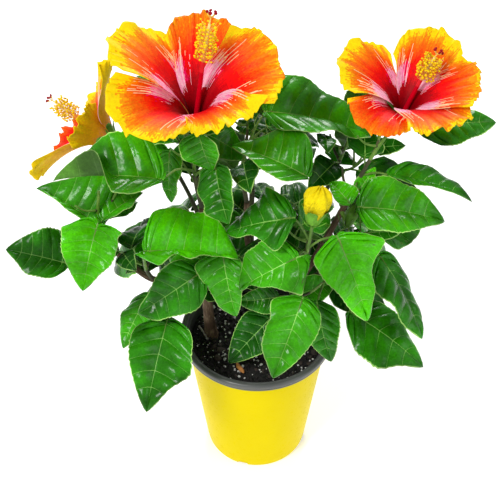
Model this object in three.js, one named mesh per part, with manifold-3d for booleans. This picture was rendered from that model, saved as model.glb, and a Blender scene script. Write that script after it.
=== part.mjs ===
// A hibiscus shrub in a round nursery pot, in millimetres, +Z up.
// The origin is the middle of the pot's flat underside. The plant's best side looks along -Y.
// Three woody stems leave the soil, boughs leave the stems, and every bough ends in a leafy shoot.
// Each shoot is one solid: its stem, side twigs, leaves, blooms and buds, all fused together.
import * as THREE from "three";
import { mergeVertices } from "three/addons/utils/BufferGeometryUtils.js";
import Module from "manifold-3d";

const wasm = await Module();
wasm.setup();

// Driving dimensions of the pot
const potHeight = 158;
const rimRadius = 76;
const rimHeight = 9;
const bodyTopRadius = 70;
const footRadius = 52.5;
const footRounding = 3;
const potWall = 1.6;
const linerWall = 1.4;
const floorThickness = 2.5;
const notchCount = 4;
const notchWidth = 11;
const notchHeight = 4.5;
const notchDepth = 16;
const notchTurn = -106;
const soilDepthBelowRim = 14;
const turningSides = 32;

// Driving dimensions of the plant
const gap = 0.3;
const soilTop = potHeight - soilDepthBelowRim;
const twigRadius = 2.1;
const petioleRadius = 1.3;
const leafThickness = 1.3;
const leafLooks = { width: 0.36, roll: 0, fold: 0.3, cup: 0.2, curl: 28 };
const showingStations = [0.012, 0.2, 0.6, 0.975];
const hiddenStations = [0.012, 0.38, 0.975];
const petalThickness = 1.5;
const petalOverlap = 0.05;
const petalSpread = 38;
const throatRadius = 2.6;
const styleRadius = 1.8;
const antherCloudRadius = 8;
const stigmaRadius = 4;
const calyxLength = 17;
const calyxWidth = 8;
const goldenTurn = 137.5;
const viewerSide = new THREE.Vector3(0, -1, 0);

const colours = {
  pot: { color: 0xefdc00, roughness: 0.45 },
  liner: { color: 0x2b2e30, roughness: 0.5 },
  soil: { color: 0x1c1512, roughness: 1 },
  bark: { color: 0x6b5640, roughness: 0.9 },
  leaf: { color: 0x2f8a1c, roughness: 0.4 },
};

const vec = (x, y, z) => new THREE.Vector3(x, y, z);
const pointOf = (list) => vec(...list);
const rad = (degrees) => THREE.MathUtils.degToRad(degrees);

// A direction from a compass turn (0 is +X, 90 is +Y) and a rise above the horizon, in degrees.
function heading(turn, rise) {
  const flat = Math.cos(rad(rise));
  return vec(flat * Math.cos(rad(turn)), flat * Math.sin(rad(turn)), Math.sin(rad(rise)));
}

// Random numbers from 0 to 1 that are the same in every run.
function seeded(seed) {
  let state = seed >>> 0;
  return () => {
    state = (Math.imul(state, 1664525) + 1013904223) >>> 0;
    return state / 4294967296;
  };
}

// A closed solid from a geometry, with its shared vertices merged.
function solidOf(geometry) {
  const bare = geometry.clone();
  bare.deleteAttribute("normal");
  bare.deleteAttribute("uv");
  const merged = mergeVertices(bare, 1e-4);
  const mesh = new wasm.Mesh({
    numProp: 3,
    vertProperties: new Float32Array(merged.attributes.position.array),
    triVerts: new Uint32Array(merged.index.array),
  });
  return new wasm.Manifold(mesh);
}

function geometryOf(solid) {
  const { vertProperties, triVerts, numProp, numVert } = solid.getMesh();
  const positions = new Float32Array(numVert * 3);
  for (let i = 0; i < numVert; i++) {
    positions.set(vertProperties.subarray(i * numProp, i * numProp + 3), i * 3);
  }
  return new THREE.BufferGeometry()
    .setAttribute("position", new THREE.BufferAttribute(positions, 3))
    .setIndex(new THREE.BufferAttribute(new Uint32Array(triVerts), 1));
}

function indexed(points, faces) {
  return new THREE.BufferGeometry().setFromPoints(points).setIndex(faces);
}

// A closed skin through rings of equally many points, each ring counter-clockwise seen from the far end.
function loft(rings) {
  const sides = rings[0].length;
  const faces = [];
  for (let i = 0; i + 1 < rings.length; i++) {
    for (let j = 0; j < sides; j++) {
      const a = i * sides + j;
      const b = i * sides + ((j + 1) % sides);
      faces.push(a, b, a + sides, b, b + sides, a + sides);
    }
  }
  const last = (rings.length - 1) * sides;
  for (let j = 1; j + 1 < sides; j++) {
    faces.push(0, j + 1, j, last, last + j, last + j + 1);
  }
  return solidOf(indexed(rings.flat(), faces));
}

// A thin plate through a grid of points, thickened to both sides. Its upper face looks along du x dv.
function plate(grid, thickness) {
  const rows = grid.length;
  const columns = grid[0].length;
  const at = (i, j) => i * columns + j;
  const upper = [];
  const lower = [];
  for (let i = 0; i < rows; i++) {
    for (let j = 0; j < columns; j++) {
      const along = grid[Math.min(i + 1, rows - 1)][j].clone().sub(grid[Math.max(i - 1, 0)][j]);
      const across = grid[i][Math.min(j + 1, columns - 1)].clone().sub(grid[i][Math.max(j - 1, 0)]);
      const normal = along.cross(across).normalize().multiplyScalar(thickness / 2);
      upper.push(grid[i][j].clone().add(normal));
      lower.push(grid[i][j].clone().sub(normal));
    }
  }
  const under = upper.length;
  const faces = [];
  const quad = (a, b, c, d) => faces.push(a, b, c, a, c, d);
  for (let i = 0; i + 1 < rows; i++) {
    for (let j = 0; j + 1 < columns; j++) {
      quad(at(i, j), at(i + 1, j), at(i + 1, j + 1), at(i, j + 1));
      quad(under + at(i, j), under + at(i, j + 1), under + at(i + 1, j + 1), under + at(i + 1, j));
    }
  }
  const border = [];
  for (let j = 0; j + 1 < columns; j++) border.push(at(0, j));
  for (let i = 0; i + 1 < rows; i++) border.push(at(i, columns - 1));
  for (let j = columns - 1; j > 0; j--) border.push(at(rows - 1, j));
  for (let i = rows - 1; i > 0; i--) border.push(at(i, 0));
  border.forEach((a, k) => {
    const b = border[(k + 1) % border.length];
    quad(a, b, under + b, under + a);
  });
  return solidOf(indexed([...upper, ...lower], faces));
}

// A tapering round limb along a smooth curve through the given points. radiusAt gives its radius.
function limb(points, radiusAt, sides, steps) {
  const curve = new THREE.CatmullRomCurve3(points, false, "centripetal");
  const rings = [];
  let side = vec(0.31, 0.87, 0.38);
  for (let i = 0; i <= steps; i++) {
    const t = i / steps;
    const centre = curve.getPoint(t);
    const tangent = curve.getTangent(t);
    side = side.clone().addScaledVector(tangent, -side.dot(tangent)).normalize();
    const other = tangent.clone().cross(side);
    rings.push(
      Array.from({ length: sides }, (_, k) => {
        const turn = (2 * Math.PI * k) / sides;
        return centre
          .clone()
          .addScaledVector(side, radiusAt(t) * Math.cos(turn))
          .addScaledVector(other, radiusAt(t) * Math.sin(turn));
      }),
    );
  }
  return loft(rings);
}

const taper = (start, end) => (t) => start + (end - start) * t;

// Leaves

// The half width of a leaf at a share of its length, as a share of the widest: broad foot, drawn-out tip.
const leafOutline = (u) => Math.pow(Math.max(Math.sin(Math.PI * Math.pow(u, 0.55)), 0), 0.75);

// The frame of a blade: it points along its turn and pitch, and its face looks up and to the light.
function bladeFrame(leaf) {
  const forward = heading(leaf.turn, leaf.pitch);
  const outward = vec(leaf.foot.x, leaf.foot.y, 0).normalize();
  const light = vec(0, 0, 1).addScaledVector(outward, 0.35).addScaledVector(viewerSide, 0.5);
  const up = light.addScaledVector(forward, -light.dot(forward)).normalize();
  const across = up.clone().cross(forward);
  const roll = rad(leaf.roll);
  const face = up.multiplyScalar(Math.cos(roll)).addScaledVector(across, Math.sin(roll));
  return { forward, face, side: face.clone().cross(forward) };
}

// A point of a blade, u from foot to tip and v from one margin (-1) to the other (1).
function bladePoint(leaf, frame, u, v) {
  const curl = rad(leaf.curl);
  const along = (leaf.length * Math.sin(curl * u)) / curl;
  const sink = (leaf.length * (1 - Math.cos(curl * u))) / curl;
  const half = leaf.length * leaf.width * leafOutline(u);
  const lift = half * (leaf.fold * Math.abs(v) - leaf.cup * v * v);
  const wave = half * 0.16 * v * Math.sin(leaf.wave + 6.5 * u);
  return leaf.foot
    .clone()
    .addScaledVector(frame.forward, along)
    .addScaledVector(frame.face, lift + wave - sink)
    .addScaledVector(frame.side, half * v);
}

function bladeSolid(leaf) {
  const frame = bladeFrame(leaf);
  const stations = leaf.showing ? showingStations : hiddenStations;
  return plate(stations.map((u) => [1, 0, -1].map((v) => bladePoint(leaf, frame, u, v))), leafThickness);
}

// The points that a leaf's stalk follows: out of its node, bending over, and a little way under the blade.
function stalkPath(leaf) {
  const middle = leaf.node.clone().lerp(leaf.foot, 0.5);
  middle.z += leaf.node.distanceTo(leaf.foot) * 0.12;
  return [leaf.node, middle, leaf.foot, bladePoint(leaf, bladeFrame(leaf), 0.16, 0)];
}

const stalkSolid = (leaf) => limb(stalkPath(leaf), taper(petioleRadius * 1.2, petioleRadius * 0.8), 3, 2);

// Blooms

// How far a petal's middle line has gone out from the axis and along it, at a share s of its length.
function petalProfile([open, length], s) {
  const slices = 12;
  let out = throatRadius;
  let along = 0;
  let angle = 0;
  for (let i = 0; i < slices; i++) {
    const middle = (s * (i + 0.5)) / slices;
    angle = rad(open * (0.22 + 0.9 * middle - 0.1 * middle * middle));
    out += (length * s * Math.sin(angle)) / slices;
    along += (length * s * Math.cos(angle)) / slices;
  }
  return { out, along, angle };
}

// The axes of a bloom: its own axis, and two across it.
function bloomFrame(bloom) {
  const axis = heading(bloom.turn, bloom.rise);
  const first = vec(1, 0, 0).addScaledVector(axis, -axis.x).normalize();
  return { axis, first, second: axis.clone().cross(first) };
}

// A point of petal k, s from throat to rim and t from one edge (-1) to the other (1).
function petalPoint(bloom, frame, k, s, t) {
  const reach = s * (1 - 0.2 * Math.abs(t) ** 3);
  const petal = bloom.petals[k];
  const { out, along, angle } = petalProfile(petal, reach);
  const turn = rad(bloom.phase + 72 * k + petalSpread * t);
  const ruffle = bloom.ruffle * Math.sin(2.1 * Math.PI * t + 1.9 * k) * reach ** 4;
  const lift = petalOverlap * petal[1] * t * reach + ruffle;
  const radial = frame.first
    .clone()
    .multiplyScalar(Math.cos(turn))
    .addScaledVector(frame.second, Math.sin(turn));
  return bloom.base
    .clone()
    .addScaledVector(radial, out - lift * Math.cos(angle))
    .addScaledVector(frame.axis, along + lift * Math.sin(angle));
}

function petalSolid(bloom, frame, k) {
  const shares = [0.03, 0.4, 0.78, 1];
  const across = [-1, -0.4, 0.4, 1];
  const grid = shares.map((s) => across.map((t) => petalPoint(bloom, frame, k, s, t)));
  return plate(grid, petalThickness);
}

// The line of the stamen column, which bends a little away from the bloom's axis.
function columnPath(bloom, frame) {
  const reach = pointOf(bloom.column);
  const bend = frame.axis.clone().multiplyScalar(reach.length() * 0.06);
  const middle = bloom.base.clone().addScaledVector(reach, 0.5).add(bend);
  return [bloom.base, middle, bloom.base.clone().add(reach)];
}

// The column: a slim style, a cloud of anthers on its upper part, and the stigma at its tip.
function columnRadius(t) {
  if (t > 0.95) return stigmaRadius;
  if (t > 0.5 && t < 0.85) return antherCloudRadius;
  return styleRadius;
}

const calyxSolid = (bloom, frame, length, width) =>
  limb(
    [
      bloom.base.clone().addScaledVector(frame.axis, -2),
      bloom.base.clone().addScaledVector(frame.axis, length * 0.4),
      bloom.base.clone().addScaledVector(frame.axis, length),
    ],
    (t) => twigRadius + (width - twigRadius) * Math.sin((Math.PI / 2) * Math.min(t * 1.6, 1)),
    6,
    3,
  );

// An open bloom is five petals, a column and a calyx. A closed one is a spindle in its calyx.
function bloomSolids(bloom) {
  const frame = bloomFrame(bloom);
  if (bloom.petals) {
    const petals = bloom.petals.map((_, k) => petalSolid(bloom, frame, k));
    const column = limb(columnPath(bloom, frame), columnRadius, 5, 9);
    return [...petals, column, calyxSolid(bloom, frame, calyxLength, calyxWidth)];
  }
  const tip = bloom.base.clone().addScaledVector(frame.axis, bloom.length);
  const swell = (t) => bloom.width * (0.35 + 0.65 * Math.sin(Math.PI * Math.min(t + 0.12, 0.86)));
  const furled = limb([bloom.base, bloom.base.clone().lerp(tip, 0.5), tip], swell, 8, 5);
  return [furled, calyxSolid(bloom, frame, bloom.length * 0.35, bloom.width * 0.95)];
}

// The limbs, from the soil up. Each is [name, points, start radius, end radius].
const footLevel = soilTop - 4;
const stems = [
  ["stem_left", [[-46, 6, footLevel], [-48, 2, 180], [-50, 0, 222]], 5.6, 4.4],
  ["stem_middle", [[2, 24, footLevel], [-2, 20, 190], [-6, 16, 238]], 5.2, 4.0],
  ["stem_right", [[34, -4, footLevel], [37, -4, 185], [40, -4, 226]], 5.4, 4.2],
];
const boughs = [
  ["bough_far_left", [[-50, 0, 222], [-75, -8, 232], [-98, -16, 241], [-129, -10, 268]], 3.6, 2.6],
  ["bough_upper_left", [[-50, 0, 222], [-48, -2, 270], [-50, -4, 317]], 3.6, 2.6],
  ["bough_back_left", [[-50, 0, 222], [-50, 14, 246], [-51, 26, 270]], 3.2, 2.4],
  ["bough_middle", [[-6, 16, 238], [-10, 10, 275], [-10, 8, 314]], 3.4, 2.5],
  ["bough_back", [[-6, 16, 238], [-6, 32, 270], [-5, 45, 299]], 3.2, 2.4],
  ["bough_far_right", [[40, -4, 226], [58, 2, 262], [84, 8, 324]], 3.6, 2.6],
  ["bough_front", [[40, -4, 226], [36, -14, 245], [34, -22, 261]], 3.0, 2.4],
  ["bough_low_right", [[40, -4, 226], [52, -8, 236], [62, -12, 246]], 3.0, 2.4],
  ["bough_back_right", [[40, -4, 226], [50, 20, 258], [60, 39, 289]], 3.2, 2.4],
];
const rootFlare = 3.4;

// A leaf that shows. along is the place of its node on the shoot's stem, as a share of its length.
function leafAt(along, foot, turn, pitch, length, looks = {}) {
  return { along, foot, turn, pitch, length, ...looks };
}

// The shoots: the points of each stem, its showing leaves, and what the growth rule adds.
// fill.turn and fill.spread say to which side of the stem, in degrees, the rule's leaves and twigs grow.
const shoots = [
  {
    name: "shoot_far_left",
    stem: [[-129, -10, 268], [-142, -8, 305], [-140, -4, 336]],
    leaves: [
      leafAt(0.4, [-141, -30, 315], -106, -30, 56, { width: 0.48, roll: 10, fold: 0.6 }),
      leafAt(0.35, [-143, -12, 303], 162, 40, 64, { roll: -40, fold: 0.9 }),
      leafAt(0.45, [-138, -12, 309], 45, 20, 48, { roll: 8, fold: 0.8 }),
      leafAt(0.05, [-180, -10, 256], 184, 26, 54, { width: 0.45, fold: 0.6 }),
    ],
    fill: { turn: 100, spread: 60, twigs: 1, leaves: 2, seed: 67 },
  },
  {
    name: "shoot_upper_left",
    stem: [[-50, -4, 317], [-55, -3, 352], [-53, 3, 403]],
    leaves: [
      leafAt(0.55, [-81, -45, 381], 178, 10, 90, { width: 0.38, roll: -28, fold: 0.7 }),
      leafAt(0.8, [-49, -20, 409], -56, -70, 38, { width: 0.44, roll: -10, fold: 0.5 }),
      leafAt(0.4, [-76, 8, 370], -108, -55, 46, { roll: -20, fold: 0.1 }),
      leafAt(0.5, [-36, -20, 375], -82, -40, 50, { roll: -16, fold: 0.5 }),
    ],
    bloom: {
      turn: 90,
      rise: 90,
      phase: 16,
      petals: [[84, 94], [76, 94], [80, 98], [105, 92], [97, 92]],
      column: [16, 8, 100],
      ruffle: 5,
    },
    fill: { turn: 80, spread: 70, twigs: 1, leaves: 2, seed: 32 },
  },
  {
    name: "shoot_upper_back_left",
    stem: [[-49, -3, 290], [-56, 30, 325], [-78, 62, 356]],
    leaves: [],
    fill: { turn: 100, spread: 80, twigs: 1, leaves: 3, seed: 33 },
  },
  {
    name: "shoot_middle",
    stem: [[-10, 8, 314], [-14, 5, 355], [-4, 8, 393]],
    leaves: [
      leafAt(0.98, [8, 26, 399], 4, -6, 100, { fold: 0.6 }),
      leafAt(0.75, [39, -34, 376], 153, 18, 72, { roll: -16, fold: 0.6 }),
    ],
    fill: { turn: 90, spread: 110, twigs: 2, leaves: 3, seed: 34 },
  },
  {
    name: "shoot_far_right",
    stem: [[84, 8, 324], [92, 10, 345], [104, 15, 369], [123, 24, 395]],
    leaves: [
      leafAt(0.8, [154, 48, 367], 2, 13, 62, { width: 0.34, fold: 0.1 }),
      leafAt(0.3, [119, 10, 342], -12, 2, 74, { roll: 30, fold: 0.4 }),
      leafAt(0.1, [88, -26, 336], -3, 0, 78, { width: 0.38, roll: 12, fold: 0.5 }),
      leafAt(0.2, [79, -22, 337], 125, 20, 30, { width: 0.42, roll: 10, fold: 0.4 }),
    ],
    bloom: {
      turn: 0,
      rise: 88,
      phase: 6,
      petals: [[94, 76], [78, 82], [80, 76], [104, 74], [100, 76]],
      column: [25, 4, 63],
      ruffle: 4,
    },
    fill: { turn: 80, spread: 60, twigs: 1, leaves: 3, seed: 30 },
  },
  {
    name: "shoot_bud_front",
    stem: [[34, -22, 261], [42, -45, 300], [45, -60, 350]],
    leaves: [
      leafAt(0.6, [66, -64, 334], -56, -42, 78, { width: 0.38 }),
      leafAt(0.5, [32, -70, 317], -171, -26, 62, { width: 0.42, roll: -10 }),
      leafAt(0.7, [28, -57, 350], 165, -20, 72, { width: 0.34, roll: -10, fold: 0.2 }),
    ],
    bloom: { turn: 20, rise: 82, length: 33, width: 10 },
    fill: { turn: 60, spread: 60, twigs: 0, leaves: 1, seed: 1 },
  },
  {
    name: "shoot_low_right",
    stem: [[62, -12, 246], [82, -22, 262], [100, -26, 280]],
    leaves: [
      leafAt(0.95, [108, -30, 283], -48, -26, 84, { roll: 26, fold: 0.1 }),
      leafAt(0.5, [86, -46, 226], -32, -8, 82, { width: 0.32, roll: 16, fold: 0.2 }),
      leafAt(0.1, [54, -50, 243], -76, -52, 60, { width: 0.32, roll: -36, fold: 0.4 }),
    ],
    fill: { turn: 50, spread: 60, twigs: 1, leaves: 2, seed: 7 },
  },
  {
    name: "shoot_low_front",
    stem: [[36, -4, 200], [30, -42, 240], [34, -62, 272]],
    leaves: [
      leafAt(0.95, [38, -76, 274], -113, -34, 74, { width: 0.33 }),
      leafAt(0.6, [18, -44, 245], -168, -2, 38, { roll: 20, fold: 0.4 }),
      leafAt(0.3, [13, -24, 197], -140, -24, 60, { width: 0.34, roll: -8 }),
    ],
    fill: { turn: 0, spread: 40, twigs: 1, leaves: 1, seed: 20 },
  },
  {
    name: "shoot_low_left",
    stem: [[-49, 1, 204], [-70, -26, 222], [-88, -38, 234]],
    leaves: [
      leafAt(0.7, [-83, -54, 223], -104, -22, 84, { width: 0.36, roll: 8, fold: 0.5 }),
      leafAt(0.95, [-101, -22, 226], -125, -20, 56, { roll: -16, fold: 0.1 }),
    ],
    fill: { turn: 150, spread: 40, twigs: 1, leaves: 1, seed: 20 },
  },
  {
    name: "shoot_front_left",
    stem: [[-49, -2, 250], [-46, -22, 260], [-38, -32, 276]],
    leaves: [
      leafAt(0.4, [-52, -42, 273], -150, -21, 68, { width: 0.33, roll: 26 }),
      leafAt(0.97, [-31, -38, 294], -79, -52, 62, { roll: -10, fold: 0.4 }),
    ],
    fill: { turn: -20, spread: 40, twigs: 0, leaves: 1, seed: 114 },
  },
  {
    name: "shoot_inner_left",
    stem: [[-98, -16, 241], [-100, -36, 272], [-99, -52, 300]],
    leaves: [leafAt(0.98, [-94, -62, 317], 10, -2, 83, { width: 0.38, roll: 30, fold: 0.8 })],
    fill: { turn: 60, spread: 50, twigs: 1, leaves: 1, seed: 13 },
  },
  {
    name: "shoot_back_left",
    stem: [[-51, 26, 270], [-69, 45, 305], [-92, 66, 332], [-113, 80, 331], [-133, 85, 323]],
    leaves: [],
    bloom: {
      turn: 156,
      rise: 24,
      phase: 54,
      petals: [[135, 74], [94, 90], [94, 92], [118, 86], [80, 92]],
      column: [-66, 29, 32],
      ruffle: 4,
    },
    fill: { turn: 110, spread: 180, twigs: 4, leaves: 6, seed: 9 },
  },
  {
    name: "shoot_back",
    stem: [[-5, 45, 299], [-2, 62, 338], [4, 72, 372]],
    leaves: [],
    bloom: { turn: 80, rise: 70, length: 34, width: 9 },
    fill: { turn: 90, spread: 180, twigs: 4, leaves: 6, seed: 120 },
  },
  {
    name: "shoot_back_right",
    stem: [[60, 39, 289], [76, 54, 325], [88, 66, 356]],
    leaves: [],
    fill: { turn: 60, spread: 180, twigs: 4, leaves: 6, seed: 92 },
  },
  {
    name: "shoot_low_back",
    stem: [[-1, 22, 204], [6, 58, 226], [12, 84, 250]],
    leaves: [],
    fill: { turn: 90, spread: 130, twigs: 3, leaves: 4, seed: 18 },
  },
  {
    name: "shoot_low_back_left",
    stem: [[-48, 3, 190], [-66, 34, 212], [-90, 56, 236]],
    leaves: [],
    fill: { turn: 130, spread: 110, twigs: 3, leaves: 4, seed: 92 },
  },
  {
    name: "shoot_low_back_right",
    stem: [[37, -4, 192], [64, 28, 214], [92, 48, 238]],
    leaves: [],
    fill: { turn: 45, spread: 110, twigs: 3, leaves: 4, seed: 104 },
  },
];

// The growth rule
const twigLength = 34;
const spaceRadius = 118;
const clearOfOthers = 9.5;
const clearOfOwn = 7;
const clearOfSoil = 8;
const clearOfRim = 5.5;
const tries = 11;

// Places that growth keeps clear of: sample points of every limb, leaf and bloom, each with its owner.
const taken = [];

function take(owner, points) {
  points.forEach((point) => taken.push({ owner, point }));
}

function leafSamples(leaf) {
  const frame = bladeFrame(leaf);
  const samples = [];
  for (const u of [0.06, 0.24, 0.42, 0.6, 0.78, 0.97]) {
    for (const v of [-1, -0.5, 0, 0.5, 1]) samples.push(bladePoint(leaf, frame, u, v));
  }
  return samples;
}

function bloomSamples(bloom) {
  const frame = bloomFrame(bloom);
  const along = (share) => bloom.base.clone().addScaledVector(frame.axis, bloom.length * share);
  if (bloom.length) return [0.2, 0.4, 0.6, 0.8, 1].map(along);
  const samples = lineSamples(columnPath(bloom, frame));
  for (const s of [0.3, 0.5, 0.7, 0.85, 1]) {
    for (let k = 0; k < 5; k++) {
      for (const t of [-0.9, -0.45, 0, 0.45, 0.9]) samples.push(petalPoint(bloom, frame, k, s, t));
    }
  }
  return samples;
}

const lineSamples = (points) =>
  new THREE.CatmullRomCurve3(points, false, "centripetal").getPoints(10);

// Whether a point is clear of the pot and the soil.
function clearOfPot(point) {
  const out = Math.hypot(point.x, point.y);
  if (out < rimRadius - 2 * clearOfRim) return point.z > soilTop + clearOfSoil;
  return out > rimRadius + clearOfRim || point.z > potHeight + clearOfRim;
}

function isClear(owner, points, centre) {
  return points.every(
    (p) =>
      clearOfPot(p) &&
      p.distanceTo(centre) < spaceRadius &&
      taken.every((other) => {
        const keep = other.owner === owner ? clearOfOwn : clearOfOthers;
        return other.point.distanceToSquared(p) > keep * keep;
      }),
  );
}

// A leaf that grows at a node of a twig: the rule turns it on until it finds room, or leaves it out.
function grownLeaf(shoot, node, turn) {
  const { random, centre } = shoot;
  const reach = 18 + 14 * random();
  const length = 58 + 28 * random();
  const pitch = -8 - 34 * random();
  const curl = 20 + 25 * random();
  const wave = 2 * Math.PI * random();
  const fold = 0.15 + 0.3 * random();
  for (let i = 0; i < tries; i++) {
    const way = turn + (i % 2 ? -1 : 1) * 13 * Math.ceil(i / 2);
    const foot = node.clone().addScaledVector(heading(way, 22), reach);
    const leaf = { ...leafLooks, node, foot, turn: way, pitch, length, curl, wave, fold };
    const samples = leafSamples(leaf);
    if (isClear(shoot.name, samples, centre)) {
      take(shoot.name, samples);
      return leaf;
    }
  }
  return null;
}

// The turn of the k-th twig or leaf: a golden turn on from the one before, folded into the shoot's free side.
function freeTurn(fill, start, k) {
  const turn = (start + goldenTurn * k) % 360;
  return fill.turn + ((turn - 180) / 180) * fill.spread;
}

// Leaves at even steps along a twig, from a share of its length up to its tip.
function growLeaves(shoot, points, from, count, start) {
  const curve = new THREE.CatmullRomCurve3(points, false, "centripetal");
  for (let i = 0; i < count; i++) {
    const node = curve.getPoint(from + ((0.97 - from) * (i + 0.5)) / count);
    const leaf = grownLeaf(shoot, node, freeTurn(shoot.fill, start, i));
    if (leaf) shoot.leaves.push(leaf);
  }
}

function startShoot(shoot) {
  const random = seeded(shoot.fill.seed);
  const points = shoot.stem.map(pointOf);
  const curve = new THREE.CatmullRomCurve3(points, false, "centripetal");
  const leaves = shoot.leaves.map(({ along, foot, ...looks }) => ({
    ...leafLooks,
    ...looks,
    showing: true,
    node: curve.getPoint(along),
    foot: pointOf(foot),
    wave: 2 * Math.PI * random(),
  }));
  const grown = { ...shoot, points, curve, leaves, side: [], random, centre: curve.getPoint(0.6) };
  if (shoot.bloom) grown.bloom = { base: points.at(-1).clone(), ...shoot.bloom };
  take(shoot.name, lineSamples(points));
  leaves.forEach((leaf) => take(shoot.name, [...leafSamples(leaf), ...lineSamples(stalkPath(leaf))]));
  if (grown.bloom) take(shoot.name, bloomSamples(grown.bloom));
  return grown;
}

// Side twigs branch from the stem, and leaves grow on the twigs and on the stem itself.
function fillShoot(shoot) {
  const { random, curve, fill, centre } = shoot;
  const firstTurn = 360 * random();
  for (let k = 0; k < fill.twigs; k++) {
    const start = curve.getPoint(0.3 + (0.55 * (k + 0.5)) / fill.twigs);
    const turn = freeTurn(fill, firstTurn, k);
    const length = twigLength * (0.8 + 0.4 * random());
    const bend = start.clone().addScaledVector(heading(turn, 28), length * 0.5);
    const tip = bend.clone().addScaledVector(heading(turn, 52), length * 0.5);
    const points = [start, bend, tip];
    if (!isClear(shoot.name, [bend.clone().lerp(tip, 0.5), tip], centre)) continue;
    take(shoot.name, lineSamples(points).slice(4));
    shoot.side.push(points);
    growLeaves(shoot, points, 0.45, 2, firstTurn + 70 * (k + 1));
  }
  growLeaves(shoot, shoot.points, 0.15, fill.leaves, firstTurn + 180);
}

// One solid for a whole shoot, kept clear of the limbs.
function shootSolid(shoot, limbsGrown) {
  const end = shoot.bloom ? twigRadius * 1.1 : twigRadius * 0.7;
  let solid = limb(shoot.points, taper(twigRadius * 1.15, end), 6, 6);
  const add = (piece) => {
    solid = solid.add(piece);
  };
  shoot.side.forEach((points) => add(limb(points, taper(twigRadius * 0.8, twigRadius * 0.5), 3, 3)));
  shoot.leaves.forEach((leaf) => {
    add(stalkSolid(leaf));
    add(bladeSolid(leaf));
  });
  if (shoot.bloom) bloomSolids(shoot.bloom).forEach(add);
  limbsGrown.forEach((other) => {
    solid = solid.subtract(other);
  });
  return largest(solid);
}

function largest(solid) {
  return solid.decompose().reduce((a, b) => (a.volume() > b.volume() ? a : b));
}

// The pot

function turned(profile, sides = turningSides) {
  return solidOf(new THREE.LatheGeometry(profile.map(([r, z]) => new THREE.Vector2(r, z)), sides));
}

function toZUp(solid) {
  return solid.rotate([90, 0, 0]);
}

function potSolid() {
  const top = potHeight - rimHeight;
  const outer = [
    [0, 0],
    [footRadius - footRounding, 0],
    [footRadius - footRounding * 0.3, footRounding * 0.3],
    [footRadius, footRounding],
    [bodyTopRadius, top],
    [bodyTopRadius - potWall, top],
    [footRadius - potWall, floorThickness],
    [0, floorThickness],
  ];
  let solid = toZUp(turned(outer));
  for (let k = 0; k < notchCount; k++) {
    const turn = rad(notchTurn + (360 / notchCount) * k);
    const box = new THREE.BoxGeometry(notchDepth, notchWidth, notchHeight * 2);
    box.rotateZ(turn);
    box.translate(footRadius * Math.cos(turn), footRadius * Math.sin(turn), 0);
    solid = solid.subtract(solidOf(box));
  }
  return solid;
}

// The radius of the pot's outer wall at a height.
const wallRadius = (z) => footRadius + ((bodyTopRadius - footRadius) * z) / (potHeight - rimHeight);

// The dark liner: a thin cup with a rolled rim that stands over the pot's edge.
function linerSolid() {
  const low = floorThickness + gap;
  const high = potHeight - rimHeight;
  const outside = (z) => wallRadius(z) - potWall - gap;
  const profile = [
    [0, low],
    [outside(low) - 1, low],
    [outside(high), high + gap],
    [bodyTopRadius + 2.5, high + gap],
    [rimRadius - 1.2, high + 1.5],
    [rimRadius, potHeight - 2.5],
    [rimRadius - 1.5, potHeight],
    [rimRadius - 5.5, potHeight],
    [rimRadius - 7.5, potHeight - 3.5],
    [outside(high) - linerWall, high - 1],
    [outside(low) - 1 - linerWall, low + linerWall],
    [0, low + linerWall],
  ];
  return toZUp(turned(profile));
}

function soilSolid() {
  const low = floorThickness + linerWall + gap * 2;
  const inside = (z) => wallRadius(z) - potWall - linerWall - gap * 2 - 1;
  const profile = [
    [0, low],
    [inside(low), low],
    [inside(soilTop), soilTop - 3],
    [inside(soilTop) - 4, soilTop - gap],
    [0, soilTop - gap],
  ];
  return toZUp(turned(profile, turningSides / 2));
}

// The whole plant

// A stem or a bough. flare widens its foot, and extra makes it fatter all over.
function limbSolid([, list, start, end], flare, extra) {
  const radiusAt = (t) => start + (end - start) * t + flare * Math.exp(-9 * t) + extra;
  return limb(list.map(pointOf), radiusAt, 7, 5);
}

// What lies below the level of the soil's surface, where the stems are cut off flat.
function belowSoil() {
  const width = rimRadius * 4;
  const depth = 40;
  return solidOf(new THREE.BoxGeometry(width, width, depth).translate(0, 0, soilTop - depth / 2));
}

const plant = new THREE.Group();

function addMesh(name, solid, look) {
  const mesh = new THREE.Mesh(geometryOf(solid), new THREE.MeshStandardMaterial(look));
  mesh.name = name;
  plant.add(mesh);
}

addMesh("pot", potSolid(), colours.pot);
addMesh("pot_liner", linerSolid(), colours.liner);
addMesh("soil", soilSolid(), colours.soil);

const limbsGrown = [];
for (const stem of stems) {
  addMesh(stem[0], limbSolid(stem, rootFlare, 0).subtract(belowSoil()), colours.bark);
  limbsGrown.push(limbSolid(stem, rootFlare, gap));
  take("limbs", lineSamples(stem[1].map(pointOf)));
}
for (const bough of boughs) {
  let solid = limbSolid(bough, 0, 0);
  limbsGrown.forEach((other) => {
    solid = solid.subtract(other);
  });
  addMesh(bough[0], largest(solid), colours.bark);
  limbsGrown.push(limbSolid(bough, 0, gap));
  take("limbs", lineSamples(bough[1].map(pointOf)));
}

const growing = shoots.map(startShoot);
growing.forEach(fillShoot);
growing.forEach((shoot) => addMesh(shoot.name, shootSolid(shoot, limbsGrown), colours.leaf));

export default plant;
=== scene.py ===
import math
import bpy
import numpy as np
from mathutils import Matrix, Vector, noise as relief


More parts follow.
